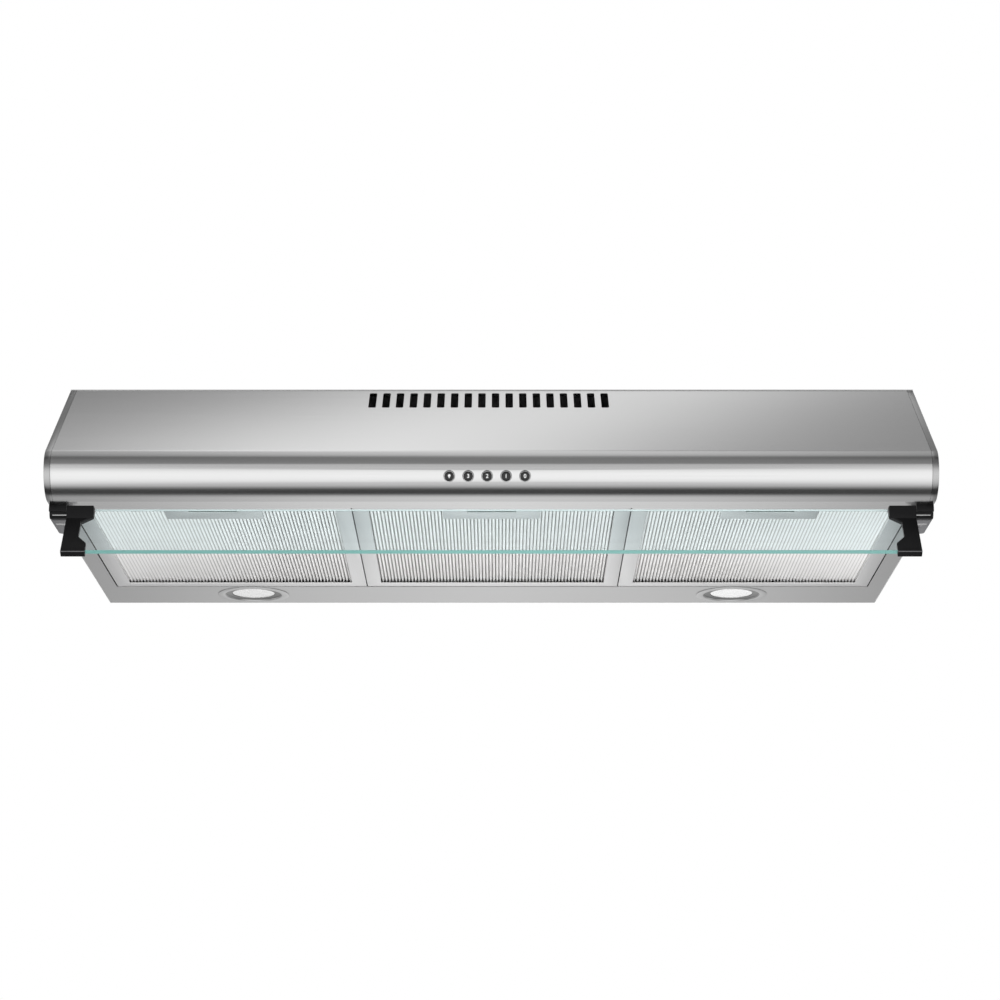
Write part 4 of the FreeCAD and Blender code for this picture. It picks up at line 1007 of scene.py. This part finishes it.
def makeFloor():
    deselectAll()
    bpy.ops.mesh.primitive_plane_add(size=stage["floorSize"], location=(0, 0, stage["floorZ"]))
    floor = named("floor")
    material, shader = newFinish("paleFloor")
    cloud = shader.noise(shader.objectPlace(), 3.0, 2)
    level = stage["floorTone"]
    pale = shader.add("ShaderNodeBsdfPrincipled", sockets={
        "Base Color": shader.tone(cloud, grey(level * stage["floorDrift"]), grey(level)),
        "Roughness": stage["floorRough"]})
    clear = shader.add("ShaderNodeBsdfTransparent")
    behind = shader.add("ShaderNodeNewGeometry", output="Backfacing")
    both = shader.add("ShaderNodeMixShader", sockets={0: behind, 1: pale, 2: clear})
    shader.add("ShaderNodeOutputMaterial", sockets={"Surface": both})
    floor.data.materials.append(material)
    floor.visible_glossy = False
    floor.visible_transmission = False


def levelRamp(shader, levels, peak, place):
    # grey by place, where the places already run from 0 to 1
    return shader.add("ShaderNodeValToRGB", {"stops": [(at, grey(level / peak)) for at, level in levels]},
                      {"Fac": place})


def glowing(piece, shader, material, glow, strength):
    # only mirrored light sees the piece
    shader.finish({"Base Color": (0, 0, 0, 1), "Roughness": 1.0, "Specular IOR Level": 0.0,
                   "Emission Color": glow, "Emission Strength": strength})
    piece.data.materials.append(material)
    piece.visible_camera = False
    piece.visible_diffuse = False
    piece.visible_shadow = False


def makeTent():
    t = tent
    deselectAll()
    bpy.ops.mesh.primitive_cylinder_add(vertices=64, radius=t["radius"], depth=t["length"],
                                        end_fill_type="NOTHING", rotation=(0, math.pi / 2, 0))
    piece = named("tent")
    bpy.ops.object.transform_apply(rotation=True)
    piece.location = t["axis"]
    material, shader = newFinish("tentCloth")
    place = shader.objectPlace()
    along, across, up = (shader.part(place, axis) for axis in "XYZ")
    angle = shader.add("ShaderNodeMath", {"operation": "ARCTAN2"}, {0: up, 1: across * -1})
    turn = angle * (0.5 / math.pi) + 0.5
    byAngle = levelRamp(shader, [((degrees + 180) / 360, level) for degrees, level in t["angles"]], t["peak"],
                        turn)
    byPlace = levelRamp(shader, [(reach / t["length"] + 0.5, level) for reach, level in t["places"]], 1.0,
                        along * (1 / t["length"]) + 0.5)
    (lowEnd, lowStart), (highStart, highEnd) = t["front"]
    below = shader.add("ShaderNodeMapRange", sockets={"Value": turn, "From Min": lowStart / 360,
                                                      "From Max": lowEnd / 360})
    above = shader.add("ShaderNodeMapRange", sockets={"Value": turn, "From Min": highStart / 360,
                                                      "From Max": highEnd / 360})
    glow = shader.add("ShaderNodeMix", {"data_type": "RGBA", "blend_type": "MULTIPLY"},
                      {0: below + above, 6: byAngle, 7: byPlace}, 2)
    glowing(piece, shader, material, glow, t["peak"])


def makeCard():
    c = card
    turn = math.radians(c["angle"])
    way = Vector((0, -math.cos(turn), math.sin(turn)))
    deselectAll()
    bpy.ops.mesh.primitive_plane_add(size=1)
    piece = named("slope_card")
    piece.scale = (*c["size"], 1)
    bpy.ops.object.transform_apply(scale=True)
    piece.location = Vector(c["centre"]) + way * c["reach"]
    piece.rotation_euler = (math.pi / 2 - turn, 0, 0)
    material, shader = newFinish("slopeCard")
    spot = shader.objectPlace()
    along, across = shader.part(spot, "X"), shader.part(spot, "Y")
    step = shader.add("ShaderNodeClamp", sockets={"Value": across, "Min": -c["span"], "Max": c["span"]})
    place = along - c["shift"] - step * c["lean"]
    levels = [(reach / (2 * c["half"]) + 0.5, level) for reach, level in c["levels"]]
    band = levelRamp(shader, levels, tent["peak"], place * (0.5 / c["half"]) + 0.5)
    glow = shader.add("ShaderNodeMix", {"data_type": "RGBA", "blend_type": "MULTIPLY"},
                      {0: 1.0, 6: band, 7: c["level"] - step * c["fade"]}, 2)
    glowing(piece, shader, material, glow, tent["peak"])


def makeLamps():
    for name, (watts, centre, size, target) in softLamps.items():
        light = bpy.data.lights.new(name, "AREA")
        light.energy = watts
        light.shape = "RECTANGLE"
        light.size, light.size_y = size
        obj = bpy.data.objects.new(name, light)
        bpy.context.scene.collection.objects.link(obj)
        obj.location = centre
        obj.rotation_euler = (Vector(target) - Vector(centre)).to_track_quat("-Z", "Y").to_euler()
        obj.visible_camera = False
        obj.visible_glossy = False
        obj.visible_transmission = False


# camera at the photograph's place: metres, degrees, and millimetres for the lens and the sensor

view = {
    "place": (0.0087, -3.0619, -0.8604),
    "upward": 14.37,
    "lens": 101.52,
    "sensor": 36,
}


def makeCamera():
    data = bpy.data.cameras.new("camera")
    data.lens = view["lens"]
    data.sensor_width = view["sensor"]
    camera = bpy.data.objects.new("camera", data)
    bpy.context.scene.collection.objects.link(camera)
    camera.location = view["place"]
    camera.rotation_euler = (math.radians(90 + view["upward"]), 0, 0)
    bpy.context.scene.camera = camera


makeWorld()
makeFloor()
makeTent()
makeCard()
makeLamps()
makeCamera()
bpy.context.scene.view_settings.view_transform = "Standard"
print("stage set")
